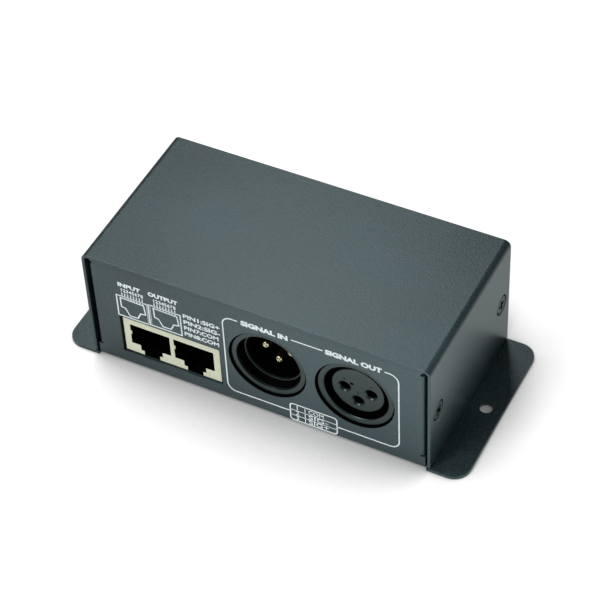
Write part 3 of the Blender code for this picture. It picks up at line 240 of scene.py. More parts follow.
def shaped(name, drawn, joins=(), cuts=(), edge=0.0, corner=30.0):
    # A drawn solid, joined and cut, its sharp edges rounded, then brought to metres
    piece = newObject(name, drawn)
    tools = []
    for change, solids in (("UNION", joins), ("DIFFERENCE", cuts)):
        for solid in solids:
            tools.append(newObject("tool", solid))
            boolean = piece.modifiers.new(change, "BOOLEAN")
            boolean.operation = change
            boolean.solver = "EXACT"
            boolean.object = tools[-1]
    if tools:
        settled(piece)
        for tool in tools:
            bpy.data.objects.remove(tool)
        cleared = bmesh.new()
        cleared.from_mesh(piece.data)
        bmesh.ops.dissolve_limit(cleared, angle_limit=math.radians(0.3), verts=cleared.verts,
                                 edges=cleared.edges)
        cleared.to_mesh(piece.data)
        cleared.free()
    piece.data.transform(Matrix.Scale(mm, 4))
    piece.data.shade_smooth()
    if edge:
        bevel = piece.modifiers.new("edge", "BEVEL")
        bevel.width = edge * mm
        bevel.segments = 2
        bevel.limit_method = "ANGLE"
        bevel.angle_limit = math.radians(corner)
    else:
        piece.data.set_sharp_from_angle(angle=math.radians(corner))
    # broad flat faces keep their own shading where they run into a rounded edge
    even = piece.modifiers.new("even", "WEIGHTED_NORMAL")
    even.keep_sharp = True
    return settled(piece)


def finished(piece, material, body="case", standsFor=()):
    piece.data.materials.clear()
    piece.data.materials.append(material)
    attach(piece, body)
    if standsFor:
        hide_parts(*standsFor)
    return piece


def copyOf(node):
    # a CAD node's mesh in mm, its doubles merged and its flat triangles joined
    bm = bmesh.new()
    bm.from_mesh(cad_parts[node].data)
    bmesh.ops.scale(bm, vec=(1 / mm,) * 3, verts=bm.verts)
    bmesh.ops.remove_doubles(bm, verts=bm.verts, dist=0.001)
    bmesh.ops.dissolve_limit(bm, angle_limit=math.radians(0.5), verts=bm.verts, edges=bm.edges)
    return bm


def refined(node, material, body="case", edge=0.1, corner=30.0):
    piece = shaped(node + "Fine", copyOf(node), edge=edge, corner=corner)
    return finished(piece, material, body, [node])


def rowTree():
    # Copies of a piece in a row, each turned a step further than the one before
    tree = bpy.data.node_groups.new("pieceRow", "GeometryNodeTree")
    tree.interface.new_socket("Geometry", in_out="OUTPUT", socket_type="NodeSocketGeometry")
    for name, kind in (("Piece", "Geometry"), ("Count", "Int"), ("Start", "Vector"), ("Step", "Vector"),
                       ("First Turn", "Vector"), ("Turn Step", "Vector"), ("Material", "Material")):
        tree.interface.new_socket(name, in_out="INPUT", socket_type="NodeSocket" + kind)
    given = addNode(tree, "NodeGroupInput").outputs
    line = addNode(tree, "GeometryNodeMeshLine", {"Count": given["Count"], "Start Location": given["Start"],
                                                  "Offset": given["Step"]}, mode="OFFSET")
    number = addNode(tree, "GeometryNodeInputIndex")
    turn = addNode(tree, "ShaderNodeVectorMath", {0: number.outputs[0], 1: given["Turn Step"],
                                                  2: given["First Turn"]}, operation="MULTIPLY_ADD")
    euler = addNode(tree, "FunctionNodeEulerToRotation", {0: turn.outputs[0]})
    copies = addNode(tree, "GeometryNodeInstanceOnPoints", {
        "Points": line.outputs[0], "Instance": given["Piece"], "Rotation": euler.outputs[0]})
    real = addNode(tree, "GeometryNodeRealizeInstances", {0: copies.outputs[0]})
    coated = addNode(tree, "GeometryNodeSetMaterial", {"Geometry": real.outputs[0],
                                                       "Material": given["Material"]})
    addNode(tree, "NodeGroupOutput", {0: coated.outputs[0]})
    return tree


pieceRow = rowTree()


def inRow(piece, material, count, start, step, firstTurn=(0, 0, 0), turnStep=(0, 0, 0)):
    # start and step in mm, turns in degrees
    given = {"Count": count, "Start": [mm * v for v in start], "Step": [mm * v for v in step],
             "First Turn": [math.radians(v) for v in firstTurn],
             "Turn Step": [math.radians(v) for v in turnStep], "Material": material}
    change = piece.modifiers.new("row", "NODES")
    change.node_group = pieceRow
    for socket in pieceRow.interface.items_tree:
        if socket.in_out == "INPUT" and socket.name in given:
            change[socket.identifier] = given[socket.name]
    return settled(piece)


# Stage: floor, soft light and the photo's camera, in metres
stageLook = {
    "lens": 131.84,                          # mm, on a 36 mm sensor
    "cameraPlace": (0.20887, -0.38058, 0.46545),
    "azimuth": 29.032, "elevation": 46.084, "roll": -3.207,
    "floorColor": "#b0b0b0", "floorLift": 0.65, "floorMirrored": 1.1, "mirroredTint": "#e8f6f5",
    "contactReach": 0.06,
    # The glow's share at two readings each: of the free sky over a spot, a painted shade, then of the
    # floor's y and x where it is mirrored, a painted reflection; beside is where the front's share turns into
    # the back's.
    "contact": ((0.5, 0.08), (0.81, 1.0)),
    "front": ((-0.06, 0.94), (-0.036, 0.53)), "back": ((-0.005, 1.05), (0.03, 0.38)),
    "beside": ((-0.033, 0.0), (-0.028, 1.0)), "left": ((-0.065, 0.42), (-0.02, 1.0)),
    "worldSeen": 1.0, "worldMirrored": 0.12, "worldLight": 0.5,
    "topLight": {"place": (-0.25, 0.41, 0.64), "size": 0.22, "power": 0.95},
    "overLight": {"place": (-0.42, -0.08, 0.82), "size": 0.5, "power": 4.1},
    "frontLight": {"place": (-0.34, -0.76, 0.62), "size": 0.35, "power": 5.5},
}


def setCamera(look):
    data = bpy.data.cameras.new("photoCamera")
    data.lens = look["lens"]
    data.sensor_width = 36.0
    data.clip_start = 0.01
    camera = bpy.data.objects.new("photoCamera", data)
    bpy.context.scene.collection.objects.link(camera)
    turn = (Matrix.Rotation(math.radians(look["azimuth"]), 4, "Z")
            @ Matrix.Rotation(math.radians(90 - look["elevation"]), 4, "X")
            @ Matrix.Rotation(math.radians(look["roll"]), 4, "Z"))
    camera.matrix_world = Matrix.Translation(look["cameraPlace"]) @ turn
    bpy.context.scene.camera = camera


def byRay(tree, seen, mirrored, other):
    # a strength for what the camera sees, also through glass, for what a surface mirrors, and
    # for the light that falls on things
    rays = addNode(tree, "ShaderNodeLightPath").outputs
    direct = addNode(tree, "ShaderNodeMath", {0: rays["Is Camera Ray"], 1: rays["Is Transmission Ray"]},
                     operation="MAXIMUM")
    first = addNode(tree, "ShaderNodeMath", {0: direct.outputs[0], 1: seen - other, 2: other},
                    operation="MULTIPLY_ADD")
    last = addNode(tree, "ShaderNodeMath", {0: rays["Is Glossy Ray"], 1: mirrored - other,
                                            2: first.outputs[0]}, operation="MULTIPLY_ADD")
    return last.outputs[0]


def setFloor(look):
    floor = newObject("floor", block((-3, -3, -0.02), (3, 3, 0)))
    material = bpy.data.materials.new("paintedFloor")
    material.use_nodes = True
    tree = material.node_tree
    shader = tree.nodes["Principled BSDF"]
    shader.inputs["Base Color"].default_value = hexColor(look["floorColor"])
    shader.inputs["Roughness"].default_value = 0.9
    shader.inputs["Specular IOR Level"].default_value = 0.0
    # Painted shade: the floor's glow fades where something stands close by, which gives the soft shade at a
    # foot. Painted reflection: what the object mirrors of the glow is set by the floor's y and x, brightest
    # in front, and tinted.
    near = addNode(tree, "ShaderNodeAmbientOcclusion", {"Distance": look["contactReach"]}, samples=16)
    rays = addNode(tree, "ShaderNodeLightPath").outputs
    place = addNode(tree, "ShaderNodeTexCoord").outputs["Object"]
    x, y, _ = addNode(tree, "ShaderNodeSeparateXYZ", {0: place}).outputs
    share = {}
    readings = {"contact": near.outputs["AO"], "front": y, "back": y, "beside": y, "left": x}
    for name, reading in readings.items():
        start, end = look[name]
        share[name] = addNode(tree, "ShaderNodeMapRange", {
            "Value": reading, "From Min": start[0], "From Max": end[0],
            "To Min": start[1], "To Max": end[1]}).outputs[0]
    facing = addNode(tree, "ShaderNodeMix", {0: share["beside"], 2: share["front"], 3: share["back"]})
    paintedReflectionShare = addNode(tree, "ShaderNodeMath", {0: facing.outputs[0], 1: share["left"]}, operation="MULTIPLY")
    reflectionShareByRay = addNode(tree, "ShaderNodeMix", {0: rays["Is Glossy Ray"], 2: 1.0, 3: paintedReflectionShare.outputs[0]})
    lift = byRay(tree, look["floorLift"], look["floorMirrored"], 0.0)
    even = addNode(tree, "ShaderNodeMath", {0: lift, 1: share["contact"]}, operation="MULTIPLY")
    strength = addNode(tree, "ShaderNodeMath", {0: even.outputs[0], 1: reflectionShareByRay.outputs[0]},
                       operation="MULTIPLY")
    tint = addNode(tree, "ShaderNodeMix", {0: rays["Is Glossy Ray"], 6: (1, 1, 1, 1),
                                           7: hexColor(look["mirroredTint"])}, data_type="RGBA")
    glow = addNode(tree, "ShaderNodeEmission", {"Color": tint.outputs[2], "Strength": strength.outputs[0]})
    total = addNode(tree, "ShaderNodeAddShader", {0: shader.outputs[0], 1: glow.outputs[0]})
    tree.links.new(total.outputs[0], tree.nodes["Material Output"].inputs["Surface"])
    floor.data.materials.append(material)


def setLights(look):
    world = bpy.data.worlds.new("studio")
    bpy.context.scene.world = world
    world.use_nodes = True
    tree = world.node_tree
    tree.nodes["Background"].inputs["Color"].default_value = (1, 1, 1, 1)
    strength = byRay(tree, look["worldSeen"], look["worldMirrored"], look["worldLight"])
    tree.links.new(strength, tree.nodes["Background"].inputs["Strength"])
    for name in ("topLight", "overLight", "frontLight"):
        data = bpy.data.lights.new(name, "AREA")
        data.size = look[name]["size"]
        data.energy = look[name]["power"]
        lamp = bpy.data.objects.new(name, data)
        lamp.location = look[name]["place"]
        lamp.rotation_euler = (-Vector(look[name]["place"])).to_track_quat("-Z", "Y").to_euler()
        bpy.context.scene.collection.objects.link(lamp)


setCamera(stageLook)
setFloor(stageLook)
setLights(stageLook)
bpy.context.scene.view_settings.view_transform = "Standard"
print("stage set")


# Case: the folded base, the cover and its four screws
refined("base_tray", powderCoat, edge=0.15)
refined("cover", powderCoat, edge=0.42, corner=60)
# the front panel's top edge, as it closes under the cover
panelLip = {"low": (-50.6, -31.68, 38.2), "high": (50.6, -31.2, 39.05), "edge": 0.1}
finished(shaped("panelLip", block(panelLip["low"], panelLip["high"]), edge=panelLip["edge"]),
         powderCoat)

coverScrew = {"headRadius": 2.75, "shankRadius": 1.45, "length": 6.0, "faceX": 52.9,
              "rows": (-26.6, 16.1), "z": 20.0, "turns": {1: 135, -1: 35}, "turnStep": 50,
              "crossArm": 1.7, "crossHalfWidth": 0.55, "crossDepth": 1.3, "gapWidth": 0.4}


def crossOutline(arm, half):
    quarter = [(arm, -half), (arm, half), (half, half)]
    outline = []
    for _ in range(4):
        outline += quarter
        quarter = [(-v, u) for u, v in quarter]
    return outline


def makeCoverScrews(look):
    radius, shank, length = look["headRadius"], look["shankRadius"], look["length"]
    profile = [(0, 0), (radius - 0.45, 0), (radius - 0.12, -0.06), (radius, -0.2),
               (shank, -0.2 - radius + shank), (shank, 0.4 - length), (shank - 0.4, -length), (0, -length)]
    arm, half = look["crossArm"], look["crossHalfWidth"]
    front, rear = look["rows"]
    for side, nodes in ((1, (3, 4)), (-1, (1, 2))):
        row = (2, (side * look["faceX"], front, look["z"]), (0, rear - front, 0),
               (look["turns"][side], 0, 0), (look["turnStep"], 0, 0))
        # the driver's recess narrows to its bottom
        recess = prism(crossOutline(arm, half), 0.1 * side, -look["crossDepth"] * side, "X",
                       crossOutline(arm * 0.4, half * 0.45))
        head = lathe([(r, side * x) for r, x in profile], "X", 48)
        screws = shaped(f"coverScrews{nodes[0]}", head, cuts=[recess], edge=0.05)
        inRow(screws, darkSteel, *row)
        finished(screws, darkSteel, standsFor=[f"cover_screw_{n}" for n in nodes])
        # what the recess and the gap round the head keep from the light
        inside, outside = radius - 0.02, radius + look["gapWidth"]
        gap = lathe([(inside, -0.12 * side), (outside, -0.12 * side), (outside, -0.18 * side),
                     (inside, -0.18 * side)], "X", 48, loop=True)
        shade = prism(crossOutline(arm * 0.97, half * 0.94), -0.03 * side, -0.3 * side, "X")
        shade = shaped(f"screwShade{nodes[0]}", shade, joins=[gap])
        inRow(shade, blackPlasticAndShade, *row)
        finished(shade, blackPlasticAndShade)


makeCoverScrews(coverScrew)
print("case made")


# Double network jack: ivory housing, a black sleeve of painted shade in each port, spring contacts
jack = {"face": -31.1, "foot": 5.5, "ports": (-34.0, -20.0), "portWidth": 12.7, "portZ": (3.4, 11.0),
        "portDepth": 14.4, "latchWide": 7.0, "latchNarrow": 5.0, "latchStep": 1.4,
        "ridgeOut": 0.45, "ridgeZ": (7.1, 8.4), "shadeBehind": 0.15, "shadeThickness": 0.12,
        "ribs": 4, "ribPitch": 1.3, "ribLow": (-2.4, 0.7, 0.05), "ribHigh": (2.4, 1.1, 0.45),
        "combLow": (-6.0, 12.5, 3.75), "combHigh": (6.0, 14.15, 10.65),
        "wires": 8, "wirePitch": 1.02, "wireRadius": 0.22, "wireBend": 0.7, "bendCentre": (3.9, 9.75),
        "wireTip": (0, 2.4, 10.45), "wireRoot": (0, 12.8, 7.0)}


def portOutline(look, shrink):
    # a port from the front, drawn in from its walls by shrink; the latch channel runs below it
    half, wide, narrow = (look[k] / 2 - shrink for k in ("portWidth", "latchWide", "latchNarrow"))
    low, high = look["portZ"][0] + shrink, look["portZ"][1] - shrink
    step = look["latchStep"] + shrink
    right = [(narrow, 0.05 + shrink), (narrow, step), (wide, step), (wide, low), (half, low), (half, high)]
    outline = right + [(-u, v) for u, v in reversed(right)]
    # round the guide ridge on the left wall
    out, (foot, top) = look["ridgeOut"], look["ridgeZ"]
    ridge = [(-half, top + shrink), (out - half, top + shrink), (out - half, foot - shrink),
             (-half, foot - shrink)]
    return outline[:7] + ridge + outline[7:]


def moved(solid, *place):
    bmesh.ops.translate(solid, verts=solid.verts, vec=place)
    return solid


def makeJack(look):
    refined("rj45_housing", ivoryPlastic, edge=0.12)
    pitch, depth = look["wirePitch"], look["portDepth"]
    for x, name in zip(look["ports"], ("in", "out")):
        place = (x, look["face"], look["foot"])
        # painted shade in each port: a thin black sleeve over its walls that ends a little behind the
        # housing's face
        portShade = prism(portOutline(look, 0.01), look["shadeBehind"], depth, "Y")
        hollow = prism(portOutline(look, look["shadeThickness"]), -0.5, depth - look["shadeThickness"], "Y")
        ribs = [moved(block(look["ribLow"], look["ribHigh"]), 0, look["ribPitch"] * i, 0)
                for i in range(look["ribs"])]
        for solid in (portShade, hollow, *ribs):
            moved(solid, *place)
        finished(shaped("jackPortShade_" + name, portShade, joins=ribs, cuts=[hollow]), blackPlasticAndShade)
        comb = moved(block(look["combLow"], look["combHigh"]), *place)
        finished(shaped("jackComb_" + name, comb, edge=0.1), blackPlasticAndShade)
        bend = [(0, y, z) for y, z in arcPoints(look["bendCentre"], look["wireBend"], 90, 55, 4)]
        path = [look["wireTip"]] + bend[::-1] + [look["wireRoot"]]
        spring = shaped("jackSprings_" + name, wire(path, look["wireRadius"]))
        first = x - (look["wires"] - 1) / 2 * pitch
        inRow(spring, goldWire, look["wires"], (first, look["face"], look["foot"]), (pitch, 0, 0))
        finished(spring, goldWire, standsFor=["rj45_contacts_" + name])


makeJack(jack)
print("network jack made")


def printText(bm, words, low, high, look, out=-1):
    # lettering stretched to a box on a panel, from its (x, z) left foot to its right top
    curve = bpy.data.curves.new("words", "FONT")
    curve.body = words
    curve.offset = look["bold"]
    curve.resolution_u = 3
    curve.extrude = 0.5
    source = bpy.data.objects.new("words", curve)
    bpy.context.scene.collection.objects.link(source)
    mesh = bpy.data.meshes.new_from_object(source.evaluated_get(bpy.context.evaluated_depsgraph_get()))
    bpy.data.objects.remove(source)
    left, foot = (min(v.co[i] for v in mesh.vertices) for i in (0, 1))
    right, top = (max(v.co[i] for v in mesh.vertices) for i in (0, 1))
    if len(words) == 1:
        # a single sign keeps its own width
        middle = (low[0] + high[0]) / 2
        half = (right - left) / (top - foot) * (high[1] - low[1]) / (2 if high[0] > low[0] else -2)
        low, high = (middle - half, low[1]), (middle + half, high[1])
    for v in mesh.vertices:
        x = low[0] + (v.co.x - left) / (right - left) * (high[0] - low[0])
        z = low[1] + (v.co.y - foot) / (top - foot) * (high[1] - low[1])
        v.co = (x, look["face"] + out * (look["thick"] if v.co.z > 0 else -look["sunk"]), z)
    bm.from_mesh(mesh)
    bpy.data.meshes.remove(mesh)


# Round three-pin connectors, drawn on their own axis with the nose's face at 0
roundConnector = {"maleX": 3.8, "femaleX": 30.3, "z": 20.1, "face": -31.0, "boardTop": 5.5,
                  "noseRadius": 11.5, "mouthRadius": 9.85, "cupRadius": 8.5, "cupRim": 3.0,
                  "cupDepth": 16.5, "grooveRadius": 9.7, "insertRadius": 7.93, "insertFace": 1.4,
                  "pins": ((-4.0, 0.0), (4.0, 0.0), (0.0, -4.1)), "pinRadius": 1.2, "pinTip": 5.8,
                  "socketRadius": 1.5, "sleeveTip": 4.2, "legStart": 20.6, "legRadius": 0.5, "legEnd": 2.6,
                  "flangeHalf": 12.6, "flangeTop": 12.8, "flangeY": (0.6, 4.0), "flangeLift": 0.3,
                  "bodyHalf": 11.3, "bodyTop": 11.8, "bodyY": (3.6, 20.5), "backRound": 3.0,
                  "keyX": (-2.3, -1.2), "keyZ": (1.6, 2.5), "keyDepth": 1.2,
                  "numberHalf": 0.4, "numberZ": (2.7, 3.8),
                  # the black film of painted shade in the gap round the nose, as a profile of (radius, depth)
                  "gap": ((11.52, 0.45), (11.52, 0.35), (11.9, 0.35), (11.9, -0.55), (11.98, -0.55),
                          (11.98, 0.45))}


def shellSolids(look):
    # the nose's ring in the panel's hole, the flange behind the panel and the block on the board
    foot = look["boardTop"] - look["z"]
    radius = look["noseRadius"]
    nose = lathe([(0, 0), (radius - 0.4, 0), (radius - 0.15, 0.06), (radius - 0.03, 0.2), (radius, 0.4),
                  (radius, 1.2), (0, 1.2)])
    backs = []
    for part, lift in (("flange", look["flangeLift"]), ("body", 0)):
        half = look[part + "Half"]
        outline = roundRect((-half, foot + lift), (half, look[part + "Top"]), look["backRound"])
        backs.append(prism(outline, *look[part + "Y"], "Y"))
    return nose, backs


def addShade(name, profile, place):
    # painted shade: a black film over walls that stand too close together for light to reach
    shadeFilm = moved(lathe(profile, loop=profile[0][0] > 0), *place)
    finished(shaped(name, shadeFilm, corner=40), blackPlasticAndShade)


def addLeg(bm, dx, dz, look):
    # a solder leg: back, a quarter turn down, and through the board
    turn = [(dx, 21.4 + v, dz - 1.0 + u) for u, v in arcPoints((0, 0), 1.0, 0, 90, 6)]
    path = [(dx, look["legStart"], dz)] + turn + [(dx, 22.4, look["legEnd"] - look["z"])]
    wire(path, look["legRadius"], 12, bm)


def makeMale(look):
    place = (look["maleX"], look["face"], look["z"])
    mouth, cup, rim, depth = look["mouthRadius"], look["cupRadius"], look["cupRim"], look["cupDepth"]
    nose, backs = shellSolids(look)
    cavity = lathe([(0, -0.5), (mouth + 0.35, -0.5), (mouth + 0.35, 0.0), (mouth + 0.1, 0.1), (mouth, 0.35),
                    (mouth - 0.5, rim), (cup + 0.45, rim), (cup + 0.13, rim + 0.13), (cup, rim + 0.45),
                    (cup, depth), (0, depth)])
    holes = [lathe([(0, 16), (1.5, 16), (1.5, 21), (0, 21)], segments=24, centre=p) for p in look["pins"]]
    for solid in [nose, cavity, *backs, *holes]:
        moved(solid, *place)
    finished(shaped("roundMaleHousing", nose, joins=backs, cuts=[cavity, *holes], corner=35), connectorNylon,
             standsFor=["xlr_male_housing"])
    # painted shade: black films in the gap, on the mouth's cone and in the cup
    addShade("roundMaleGapShade", look["gap"], place)
    addShade("roundMaleMouthShade", [(mouth - 0.12, 0.8), (mouth - 0.485, rim - 0.02), (cup + 0.5, rim - 0.02),
                                (cup + 0.5, rim - 0.1), (mouth - 0.56, rim - 0.1), (mouth - 0.2, 0.8)], place)
    addShade("roundMaleCupShade", [(0, depth - 0.05), (cup - 0.01, depth - 0.05), (cup - 0.01, rim + 0.8),
                              (cup - 0.1, rim + 0.8), (cup - 0.1, depth - 0.15), (0, depth - 0.15)], place)
    # a rounded tip with a dimple, as the lathe leaves it
    tip, radius = look["pinTip"], look["pinRadius"]
    profile = [(0, tip + 0.3), (0.3, tip + 0.22), (0.5, tip + 0.05), (0.62, tip), (0.75, tip),
               (0.95, tip + 0.1), (1.1, tip + 0.28), (radius, tip + 0.6), (radius, look["legStart"]),
               (0.5, 21.0), (0, 21.0)]
    for number, (dx, dz) in enumerate(look["pins"], 1):
        pin = lathe(profile, segments=32, centre=(dx, dz))
        addLeg(pin, dx, dz, look)
        finished(shaped(f"roundMalePin{number}", moved(pin, *place), corner=50), nickelBrass,
                 standsFor=[f"xlr_male_pin_{number}"])


def makeFemale(look):
    place = (look["femaleX"], look["face"], look["z"])
    groove, radius, face = look["grooveRadius"], look["insertRadius"], look["insertFace"]
    socket, sleeveTip = look["socketRadius"], look["sleeveTip"]
    nose, backs = shellSolids(look)
    cavity = lathe([(0, -0.5), (groove + 0.55, -0.5), (groove + 0.55, 0), (groove + 0.3, 0.1), (groove, 0.4),
                    (groove, 13.0), (8.4, 13.0), (8.4, 21.0), (0, 21.0)])
    for solid in [nose, cavity, *backs]:
        moved(solid, *place)
    finished(shaped("roundFemaleHousing", nose, joins=backs, cuts=[cavity], corner=35), connectorNylon,
             standsFor=["xlr_female_housing"])
    # painted shade: black films in the gap, down the groove and in each socket
    addShade("roundFemaleGapShade", look["gap"], place)
    addShade("roundFemaleGrooveShade", [(groove - 0.01, 0.45), (groove - 0.01, 11.9), (radius + 0.02, 11.9),
                                   (radius + 0.02, 2.0), (radius + 0.1, 2.0), (radius + 0.1, 11.8),
                                   (groove - 0.1, 11.8), (groove - 0.1, 0.45)], place)
    insert = lathe([(0, face), (radius - 0.45, face), (radius - 0.15, face + 0.08), (radius, face + 0.35),
                    (radius, 12.0), (9.4, 12.0), (9.4, 12.7), (8.1, 12.7), (8.1, 20.5), (0, 20.5)])
    hole = [(0, face - 0.5), (2.6, face - 0.5), (2.1, face), (1.6, face + 0.42), (socket, face + 0.7),
            (socket, 21), (0, 21)]
    holes = [lathe(hole, segments=32, centre=(-dx, dz)) for dx, dz in look["pins"]]
    left, right = look["keyX"]
    foot, top = look["keyZ"]
    key = block((left, face - 0.5, foot), (right, face + look["keyDepth"], top))
    for solid in [insert, key, *holes]:
        moved(solid, *place)
    finished(shaped("roundFemaleInsert", insert, cuts=[*holes, key], edge=0.06, corner=40), connectorNylon,
             standsFor=["xlr_female_insert"])
    shadeFilm = [(socket - 0.01, face + 0.8), (socket - 0.01, sleeveTip - 0.05), (socket - 0.08, sleeveTip - 0.05),
            (socket - 0.08, face + 0.8)]
    sleeve = [(0, 12.2), (0.6, 12.2), (1.2, 11.7), (1.2, sleeveTip + 0.1), (1.3, sleeveTip),
              (1.4, sleeveTip + 0.1), (1.4, look["legStart"]), (0.5, 21.0), (0, 21.0)]
    # the pins' numbers, moulded into the insert, drawn black as painted shade of their recess
    numbers = bmesh.new()
    onInsert = {"face": place[1] + face, "thick": 0.01, "sunk": 0.02, "bold": 0.0}
    half = look["numberHalf"]
    foot, top = look["numberZ"]
    for number, (dx, dz) in enumerate(look["pins"], 1):
        x, z = place[0] - dx, place[2] + dz
        printText(numbers, str(number), (x - half, z + foot), (x + half, z + top), onInsert)
        addShade(f"roundFemaleSocketShade{number}", shadeFilm, (x, place[1], z))
        contact = lathe(sleeve, segments=32, centre=(-dx, dz))
        addLeg(contact, -dx, dz, look)
        finished(shaped(f"roundFemaleSleeve{number}", moved(contact, *place), corner=50), nickelBrass,
                 standsFor=[f"xlr_female_contact_{number}"])
    finished(shaped("roundFemaleNumbers", numbers), blackPlasticAndShade)


makeMale(roundConnector)
makeFemale(roundConnector)
print("round connectors made")


# Rear: pluggable terminals with their clamps, address switch, lamp
clampScrew = {"shankRadius": 1.1, "headRadius": 1.75, "headHeight": 1.7, "slotWidth": 0.6, "slotDepth": 0.8}


def makeClampScrew(node, look):
    # a slotted head in its well, drawn round the CAD screw's own axis
    low, high = (Vector(v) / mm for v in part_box(node))
    x, y, top = (low.x + high.x) / 2, (low.y + high.y) / 2, high.z
    shank, head, under = look["shankRadius"], look["headRadius"], top - look["headHeight"]
    screw = lathe([(0, low.z), (shank - 0.2, low.z), (shank, low.z + 0.25), (shank, under),
                   (head - 0.1, under), (head, under + 0.1), (head, top - 0.3), (head - 0.1, top - 0.1),
                   (head - 0.35, top), (0, top)], "Z", 40, (x, y))
    half = look["slotWidth"] / 2
    slot = block((x - 2.5, y - half, top - look["slotDepth"]), (x + 2.5, y + half, top + 0.5))
    finished(shaped(node + "Fine", screw, cuts=[slot], edge=0.04), zincSteel, node, [node])


for name, poles in (("power", 2), ("output", 4)):
    refined(name + "_header", terminalPlastic, edge=0.1)
    refined(name + "_plug", terminalPlastic, edge=0.12)
    for pole in range(1, poles + 1):
        makeClampScrew(f"{name}_screw_{pole}", clampScrew)
        refined(f"{name}_clamp_{pole}", zincSteel, f"{name}_clamp_{pole}", edge=0.08)

switchWays = range(1, 11)
refined("dip_switch_body", switchPlastic, edge=0.08)
for way in switchWays:
    refined(f"dip_slider_{way}", sliderPlastic, f"dip_slider_{way}", edge=0.06)

indicator = {"x": -39.5, "panel": 21.2, "z": 10.3, "lensRadius": 1.5, "out": 0.9, "length": 5.0,
             "flangeRadius": 1.9, "legPitch": 2.54, "legRadius": 0.25, "legEnd": 2.6}


def makeIndicator(look):
    base = look["out"] - look["length"]
    lens, flange = look["lensRadius"], look["flangeRadius"]
    dome = arcPoints((0, look["out"] - lens), lens, 0, 90, 10)[:-1]
    bulb = lathe([(0, base), (flange - 0.1, base), (flange, base + 0.1), (flange, base + 0.7),
                  (flange - 0.1, base + 0.8), (lens, base + 0.8)] + dome + [(0, look["out"])], segments=48)
    for side in (-look["legPitch"] / 2, look["legPitch"] / 2):
        turn = [(side, base - 1.7 - v, u - 0.5) for u, v in arcPoints((0, 0), 0.5, 0, 90, 6)]
        path = [(side, base + 0.3, 0)] + turn + [(side, base - 2.2, look["legEnd"] - look["z"])]
        wire(path, look["legRadius"], 10, bulb)
    moved(bulb, look["x"], look["panel"], look["z"])
    finished(shaped("indicatorLamp", bulb, corner=40), lampEpoxy, standsFor=["status_led"])


makeIndicator(indicator)
print("rear made")


# The board and what stands on it keep their CAD shapes, under the cover
boardFinishes = {"circuit_board": boardMask, "capacitor": sleevedCan, "controller_chip": packageEpoxy}
boardFinishes.update({f"power_transistor_{n}": packageEpoxy for n in (1, 2, 3)})
boardFinishes.update({f"board_screw_{n}": zincSteel for n in (1, 2, 3, 4)})
boardFinishes.update({f"board_standoff_{n}": turnedBrass for n in (1, 2, 3, 4)})
for node, material in boardFinishes.items():
    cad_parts[node].data.materials.clear()
    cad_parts[node].data.materials.append(material)
print("board finished")


# Print on the panels: strokes and lettering as a thin layer of ink, with plain numbers and words
panelPrint = {"thick": 0.02, "sunk": 0.01, "line": 0.4}
frontPrint = {
    "face": -31.7,
    # text, its left foot and right top across and up the panel, and how bold
    "words": (("INPUT", (-42.15, 31.95), (-34.95, 33.5), 0.045),
              ("OUTPUT", (-32.55, 32.1), (-23.15, 33.7), 0.045),
              ("PIN1:SIG+", (-21.85, 27.9), (-10.35, 29.5), 0.03),
              ("PIN2:SIG-", (-21.85, 25.55), (-10.35, 27.15), 0.03),
              ("PIN7:COM", (-21.85, 23.2), (-11.0, 24.8), 0.03),
              ("PIN8:COM", (-21.85, 20.85), (-11.0, 22.45), 0.03),
              ("SIGNAL IN", (-3.55, 33.1), (10.75, 35.05), 0.055),
              ("SIGNAL OUT", (21.9, 33.1), (38.75, 35.05), 0.055),
              ("1", (12.0, 5.85), (12.9, 7.45), 0.01), ("COM", (15.9, 5.85), (20.6, 7.45), 0.01),
              ("2", (12.0, 3.7), (12.9, 5.3), 0.01), ("SIG-", (15.9, 3.7), (21.9, 5.3), 0.01),
              ("3", (12.0, 1.65), (12.9, 3.25), 0.01), ("SIG+", (15.9, 1.65), (22.1, 3.25), 0.01)),
    # the two plug drawings, each a box and a shift of the plug's outline; over each eight digits
    # and eight ticks, with the place of the first
    "plugs": (((-43.05, 20.1), (-33.35, 28.1), (0, 0)), ((-32.45, 20.3), (-22.75, 28.4), (10.6, 0.25))),
    "plugOutline": ((-41.9, 27.3), (-41.8, 23.7), (-40.55, 23.5), (-39.35, 21.0), (-36.75, 21.1),
                    (-35.75, 23.3), (-34.1, 23.6), (-34.45, 27.1)),
    "pins": 8, "pitch": 0.93,
    "digits": (-41.45, -31.15), "digitWidth": 0.6, "digitZ": (30.05, 31.35), "digitBold": 0.03,
    "ticks": ((-41.15, 0.1), (-30.85, 0.2)), "tickWidth": 0.34, "tickZ": (27.2, 29.5),
    "bar": ((-32.9, 19.95), (-32.9, 28.4)), "barWidth": 1.0,
    # the frame round the round connectors, where its top line stops at the labels, and its table
    "frame": ((-9.3, 4.6), (43.55, 34.1)), "frameRadius": 2.8, "lineEnds": (-4.55, 11.75, 21.25, 39.45),
    "table": ((10.25, 1.3), (24.65, 7.9)), "tableRadius": 1.0,
    "tableRows": (5.4, 3.35), "rowLine": 0.22, "tableColumn": 14.85, "columnLine": 0.24,
}
rearPrint = {
    "panel": 21.2, "switch": 21.0, "bold": 0.045,
    # text over each pole, its middle, half width, foot and top
    "poles": (("+", 38.04, 0.9, 17.3, 19.1), ("-", 32.96, 0.9, 18.0, 18.4), ("V+", 19.12, 1.3, 17.3, 19.0),
              ("R", 14.04, 0.7, 17.3, 19.0), ("G", 8.96, 0.7, 17.3, 19.0), ("B", 3.88, 0.7, 17.3, 19.0)),
    "switchX": -19.0, "wayPitch": 2.54, "wayZ": (6.3, 7.6), "onX": (-7.0, -9.0), "onZ": (13.1, 14.4),
}


